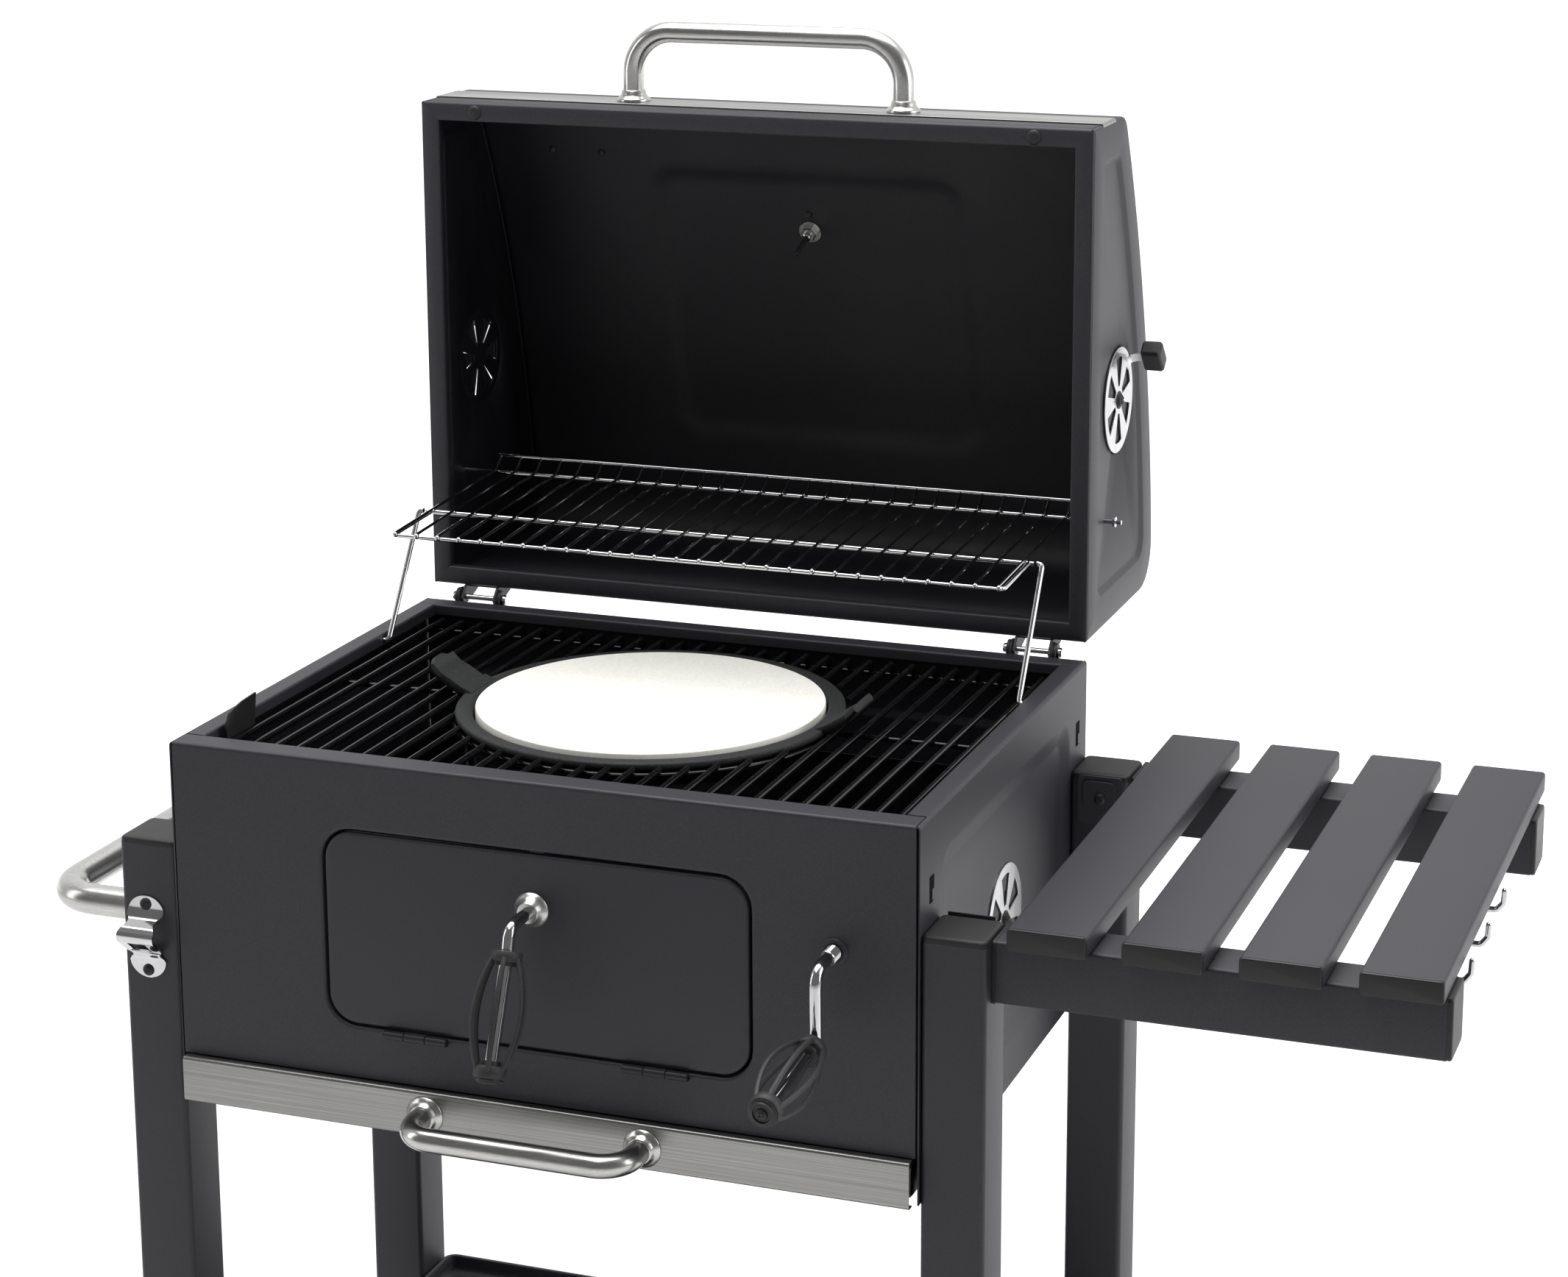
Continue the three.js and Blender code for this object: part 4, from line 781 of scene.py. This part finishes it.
rimring = lambda d, y: (rrect(-LX + d, LX - d, LB + d, LT - d, max(2.5 - d, 0.4), 4), y)
lip = [rimring(0, 468.2), rimring(0, 467.2), rimring(0.7, 465.7), rimring(2.2, 465.0), rimring(14.6, 465.0),
        rimring(15.9, 465.5), rimring(16.4, 466.8), rimring(16.4, 474)]
piece("lid_rim", flat_loops("y", lip), "lid", PAINT, thick=1.0, out=(0, -1, 0), offset=-1.0,
        sharp=50)

a, b = local_box("lid_strip")
path = fillet2([(-LX + 0.1, LT - 9.5), (-LX + 0.1, b.z), (LX - 0.1, b.z), (LX - 0.1, LT - 9.5)], [0, 2.4, 2.4, 0],
        6)
piece("lid_strip", strip("y", path, -1.4, a.y, b.y), "lid", STEEL_X, "lid_strip", bevel=0.3)

for side, s in SIDES:
    piece("lid_bumper_top_" + side, lathe([(0, -0.4), (6.4, -0.4), (6.4, 0.4), (5.6, 1.5), (3.6, 2.1), (0, 2.3)],
            (s * 255, 465, 442.6), (0, -1, 0), 24), "lid", PLASTIC)
    piece("lid_screw_low_" + side, screw((s * 255.5, 507, LB + 1.3), (0, 0, 1), 6.0), "lid", PLASTIC)
for k, (x, z) in enumerate(((-239, 395), (-191, 394), (0, 343))):
    y = arc_y(z) + (1.3 if x == 0 else -1.3)
    piece(f"lid_rivet_{k + 1}", lathe([(0, 0), (3.6, 0), (3.2, 1.4), (1.6, 2.2), (0, 2.3)], (x, y, z), (0, -1, 0),
            16), "lid", PLASTIC)

# thermometer: dial outside, nut, washer and probe inside
tz = 326.0
nrm = Vector((0, arc_y(tz) + 359, tz + 39.2)).normalized()
c0 = Vector((0, arc_y(tz), tz))
piece("thermometer_case", lathe([(0, 1.6), (27, 1.6), (29.4, 3.0), (29.8, 8), (29.0, 11.4), (27.4, 12.8),
        (25.8, 12.2), (25.2, 9.4), (0, 9.4)], c0, nrm, 56), "lid", SATIN, "thermometer")
piece("thermometer_dial", lathe([(0, 9.5), (25.0, 9.5), (25.0, 9.9), (0, 9.9)], c0, nrm, 48), "lid", DIAL)
q = nrm.to_track_quat("Z", "Y")


def mark(g, corners, low, high):
    """A raised mark on the dial: four corners (outwards, sideways) turned by g."""
    c, s = math.cos(g), math.sin(g)
    p = [c0 + q @ Vector((r * c - v * s, r * s + v * c, h)) for h in (low, high) for r, v in corners]
    return p, [[3, 2, 1, 0], [4, 5, 6, 7]] + [[i, (i + 1) % 4, 4 + (i + 1) % 4, 4 + i] for i in range(4)]


ticks = []
for k in range(13):
    g = math.radians(-135 + 270 * k / 12)
    ticks.append(mark(g, [(17.5, -0.6), (22.5, -0.6), (22.5, 0.6), (17.5, 0.6)], 9.8, 10.3))
ticks.append(mark(math.radians(-100), [(-5, -1), (19, -0.3), (19, 0.3), (-5, 1)], 10.4, 10.9))
piece("thermometer_marks", merge(*ticks, lathe([(0, 9.9), (2.6, 9.9), (2.2, 11.6), (0, 11.8)], c0, nrm, 16)), "lid",
        PLASTIC)
piece("thermometer_nut", merge(lathe([(4, 1.3), (10.4, 1.3), (10.4, -0.2), (4, -0.2)], c0, nrm, 32),
        lathe([(4, -0.2), (7.2, -0.2), (7.2, -5.4), (6.2, -6.4), (4, -6.4)], c0, nrm, 6)), "lid", SATIN)
piece("thermometer_probe", lathe([(0, -41.5), (2.0, -41.5), (2.7, -40.4), (2.7, -12), (4.0, -11), (4.0, -1),
        (0, -1)], c0, nrm, 20), "lid", CHROME)

# ------------------------------------------------------------------ hinges between firebox and lid
HNY, HNZ = 464.0, 2.0
for side, s in SIDES:
    x = lambda v: s * v
    ear = lambda x0, x1, r: lathe([(0, 0), (r, 0), (r, x1 - x0), (0, x1 - x0)], (min(x(x0), x(x1)), HNY, HNZ),
            (1, 0, 0), 28)
    arm = lambda x0, x1: prism("x", [(455.4, -36), (459, -36), (HNY + 7.4, HNZ - 5), (HNY + 7.4, HNZ),
            (HNY - 7.4, HNZ), (455.4, -8)], min(x(x0), x(x1)), max(x(x0), x(x1)))
    base = slab(min(x(238), x(282)), max(x(238), x(282)), 455.2, 457.2, -36, -10)
    piece("hinge_bracket_" + side, merge(base, arm(238, 240.5), arm(279.5, 282), ear(238, 240.5, 8),
            ear(279.5, 282, 8)), "frame", PAINT, "hinge_bracket_" + side, bevel=0.4)
    pin = [(0, 0), (3.8, 0), (4.4, 1.2), (4.4, 3), (2.5, 3.2), (2.5, 48.8), (4.4, 49), (4.4, 50.8), (3.8, 52),
            (0, 52)]
    piece("hinge_pin_" + side, lathe(pin, (min(x(234), x(286)), HNY, HNZ), (1, 0, 0), 24), "frame", CHROME)
    lug = lambda x0, x1: prism("x", [(HNY - 2, HNZ - 7), (HNY + 8, HNZ - 5), (HNY + 44, LB - 2.2),
            (HNY + 44, LB - 0.3), (HNY + 2, LB - 0.3), (HNY - 7, HNZ)], min(x(x0), x(x1)), max(x(x0), x(x1)))
    foot = slab(min(x(243), x(277)), max(x(243), x(277)), HNY + 6, HNY + 46, LB - 2.2, LB - 0.3)
    piece("lid_hinge_ear_" + side, merge(foot, lug(243, 245.5), lug(274.5, 277)), "lid", PAINT,
            "lid_hinge_ear_" + side, bevel=0.4)
    wash = lambda x0, x1: lathe([(2.7, 0), (8.2, 0), (9.0, 0.8), (9.0, x1 - x0 - 0.8), (8.2, x1 - x0),
            (2.7, x1 - x0), (2.7, 0)], (min(x(x0), x(x1)), HNY, HNZ), (1, 0, 0), 32)
    piece("hinge_washers_" + side, merge(wash(240.6, 242.9), wash(277.1, 279.4)), "lid", PLASTIC)

# ------------------------------------------------------------------ air vents: disc, hub screw, tab and knob
for name, c, X, body, ang in (("lid_vent", LV, LX - 2.6, "lid_vent_", 43.8),
        ("firebox_vent", FV, 305.9, "firebox_vent_", 221.3)):
    for side, s in SIDES:
        b = body + side[0]
        disc = plate("x", ring(c, 46.2, 72), [wedge(c, k, 12.5, 38) for k in range(6)], X, X + 1.5)
        piece(f"{name}_{side}", mirror(disc, s), b, PLATE, f"{name}_{side}", bevel=0.25)
        piece(f"{name}_hub_{side}", merge(screw((s * (X + 1.4), *c), (s, 0, 0), 6.2),
                lathe([(0, 0), (8, 0), (7.6, 1), (0, 1)], (s * (X + 1.3), *c), (s, 0, 0), 28)), b, PLASTIC)
        q = math.radians(ang)
        u, w = Vector((0, math.cos(q), math.sin(q))), Vector((0, -math.sin(q), math.cos(q)))
        base = Vector((0, *c))
        rows = [base + u * r + Vector((X + h, 0, 0)) for r,
                h in ((36, 1.2), (41, 1.6), (44.5, 3.5), (46, 8), (47, 15), (47.5, 21))]
        pts = [tuple(p + w * t + u * e) for p in rows for t, e in ((-5.5, 0), (5.5, 0), (5.5, 1.4), (-5.5, 1.4))]
        tabm = loops([pts[4 * i:4 * i + 4] for i in range(len(rows))], True, True)
        piece(f"{name}_tab_{side}", mirror(tabm, s), b, PLATE, bevel=0.2)
        k0 = base + u * 48 + Vector((X, 0, 0))
        box = []
        for h, g in ((14, 1.6), (15.4, 0.2), (29.3, 0), (31.2, 1.4), (31.8, 3.4)):
            box.append([tuple(k0 + Vector((h, 0, 0)) + w * a + u * e) for a,
                    e in rrect(-13.5 + g, 13.5 - g, -7.5 + g, 8.5 - g, 3.4 - g * 0.5, 4)])
        slot_ = [[tuple(k0 + Vector((h, 0, 0)) + w * a + u * e) for a,
                e in rrect(-9 + 11 * m, -2.5 + 11 * m, 8.1, 9.4, 0.6, 2)] for m in (0, 1) for h in (18.5, 28.5)]
        piece(f"{name}_knob_{side}", mirror(merge(loops(box, True, True),
                *[loops(slot_[2 * m:2 * m + 2], True, True) for m in (0, 1)]), s), b, PLASTIC,
                bevel=0.2)

# ------------------------------------------------------------------ warming rack and its wire legs
PY, PZ = 530.0, 104.0
TY, TZ, BY, BZ = 398.0, 97.0, 332.0, -5.0
tilt = (PZ - TZ) / (PY - TY)
bar_z = lambda y: PZ - (PY - y) * tilt + 2.8
RACK_BARS, RACK_PITCH = 28, 20.1
parts = []
for k in range(RACK_BARS):
    x = (k - (RACK_BARS - 1) / 2) * RACK_PITCH
    p = fillet([(x, 322, bar_z(322)), (x, 527, bar_z(527)), (x, 540.5, PZ + 13.4)], 13, 5)
    parts += [tube(p, 1.25, 8), ball((x, 321.6, bar_z(322) - 1.6), 2.5)]
wire = lambda pts, r=1.9: tube(pts, r, 12)
parts.append(wire(fillet([(-274.5, TY, bar_z(TY) - 3.2), (-274.5, 324, bar_z(324) - 3.2),
        (274.5, 324, bar_z(324) - 3.2), (274.5, TY, bar_z(TY) - 3.2)], 6, 5)))
parts.append(wire([(-279, TY, bar_z(TY) - 3.2), (279, TY, bar_z(TY) - 3.2)], 2.0))
parts.append(wire([(-LX - 12, PY, PZ), (LX + 12, PY, PZ)], 2.2))
parts.append(wire([(-273.5, 540.5, PZ + 13.4), (273.5, 540.5, PZ + 13.4)], 1.8))
piece("warming_rack", merge(*parts), "rack", CHROME, "warming_rack")
clips = merge(*[lathe([(2.3, 0), (4.6, 0), (4.6, 2), (2.3, 2)], (s * (LX + 6) - 1, PY, PZ), (1, 0, 0),
        16) for s in (-1, 1)])
piece("warming_rack_clips", clips, "rack", CHROME)
for side, s in SIDES:
    p = fillet([(s * 296.6, BY, BZ), (s * 286, BY, BZ), (s * 286, TY, TZ), (s * 281.6, TY, TZ)], 4, 5)
    piece("rack_leg_" + side, tube(p, 2.3, 14), "rack_leg_" + side[0], CHROME, "rack_leg_" + side)

# ------------------------------------------------------------------ floor, light and camera
me = bpy.data.meshes.new("floor")
me.from_pydata([(-40, -40, 0), (40, -40, 0), (40, 40, 0), (-40, 40, 0)], [], [[0, 1, 2, 3]])
stage = bpy.data.objects.new("floor", me)
bpy.context.scene.collection.objects.link(stage)
m, t, s = tree("pale_floor")
t.links.new(ramp(t, noise(t, 3, 2), (0.86, 0.86, 0.86), (0.90, 0.90, 0.90)), s.inputs["Base Color"])
s.inputs["Roughness"].default_value = 0.9
where = t.nodes.new("ShaderNodeSeparateXYZ")
t.links.new(t.nodes.new("ShaderNodeTexCoord").outputs["Object"], where.inputs["Vector"])
s.inputs["Emission Color"].default_value = (1, 1, 1, 1)
t.links.new(span(t, where.outputs["Y"], 0.0, 0.8, 0.5, 2.2), s.inputs["Emission Strength"])
me.materials.append(m)

scene = bpy.context.scene
scene.world = scene.world or bpy.data.worlds.new("studio")
scene.world.use_nodes = True
t = scene.world.node_tree
bg = t.nodes["Background"]
bg.inputs["Color"].default_value = (1, 1, 1, 1)
where = t.nodes.new("ShaderNodeSeparateXYZ")
t.links.new(t.nodes.new("ShaderNodeTexCoord").outputs["Generated"], where.inputs["Vector"])
t.links.new(span(t, where.outputs["Y"], 0.17, 0.95, -0.35, 0.45), bg.inputs["Strength"])
scene.view_settings.view_transform = "Standard"


def softbox(name, at, target, size, power):
    l = bpy.data.lights.new(name, "AREA")
    l.shape, l.size, l.size_y, l.energy = "RECTANGLE", size[0], size[1], power
    o = bpy.data.objects.new(name, l)
    scene.collection.objects.link(o)
    o.location = at
    o.rotation_euler = (Vector(target) - Vector(at)).to_track_quat("-Z", "Y").to_euler()


softbox("overhead", (-0.3, 0.2, 3.4), (0, 0, 0.8), (3.2, 2.6), 96)
softbox("right", (3.2, 0.3, 1.9), (0.1, 0, 0.8), (2.0, 2.2), 40)
softbox("left", (-3.0, -1.2, 1.6), (0, 0, 0.8), (0.8, 2.4), 14)

CAM = (1034.23, -2239.19, 812.09)
YAW, PITCH, ROLL = 0.3423, -0.2223, -0.0018
FOCAL_PX, WIDTH_PX, SHIFT = 4631.4, 2131.0, (-0.0259, -0.12)
fwd = Vector((-math.sin(YAW) * math.cos(PITCH), math.cos(YAW) * math.cos(PITCH), math.sin(PITCH)))
right = fwd.cross(Vector((0, 0, 1))).normalized()
up = right.cross(fwd)
right, up = right * math.cos(ROLL) + up * math.sin(ROLL), up * math.cos(ROLL) - right * math.sin(ROLL)
cam = bpy.data.objects.new("camera", bpy.data.cameras.new("camera"))
scene.collection.objects.link(cam)
cam.matrix_world = Matrix.Translation(world(CAM)) @ Matrix((right, up, -fwd)).transposed().to_4x4()
cam.data.sensor_width = 36.0
cam.data.lens = FOCAL_PX * 36.0 / WIDTH_PX
cam.data.shift_x, cam.data.shift_y = SHIFT
cam.data.clip_start, cam.data.clip_end = 0.05, 60
scene.camera = cam
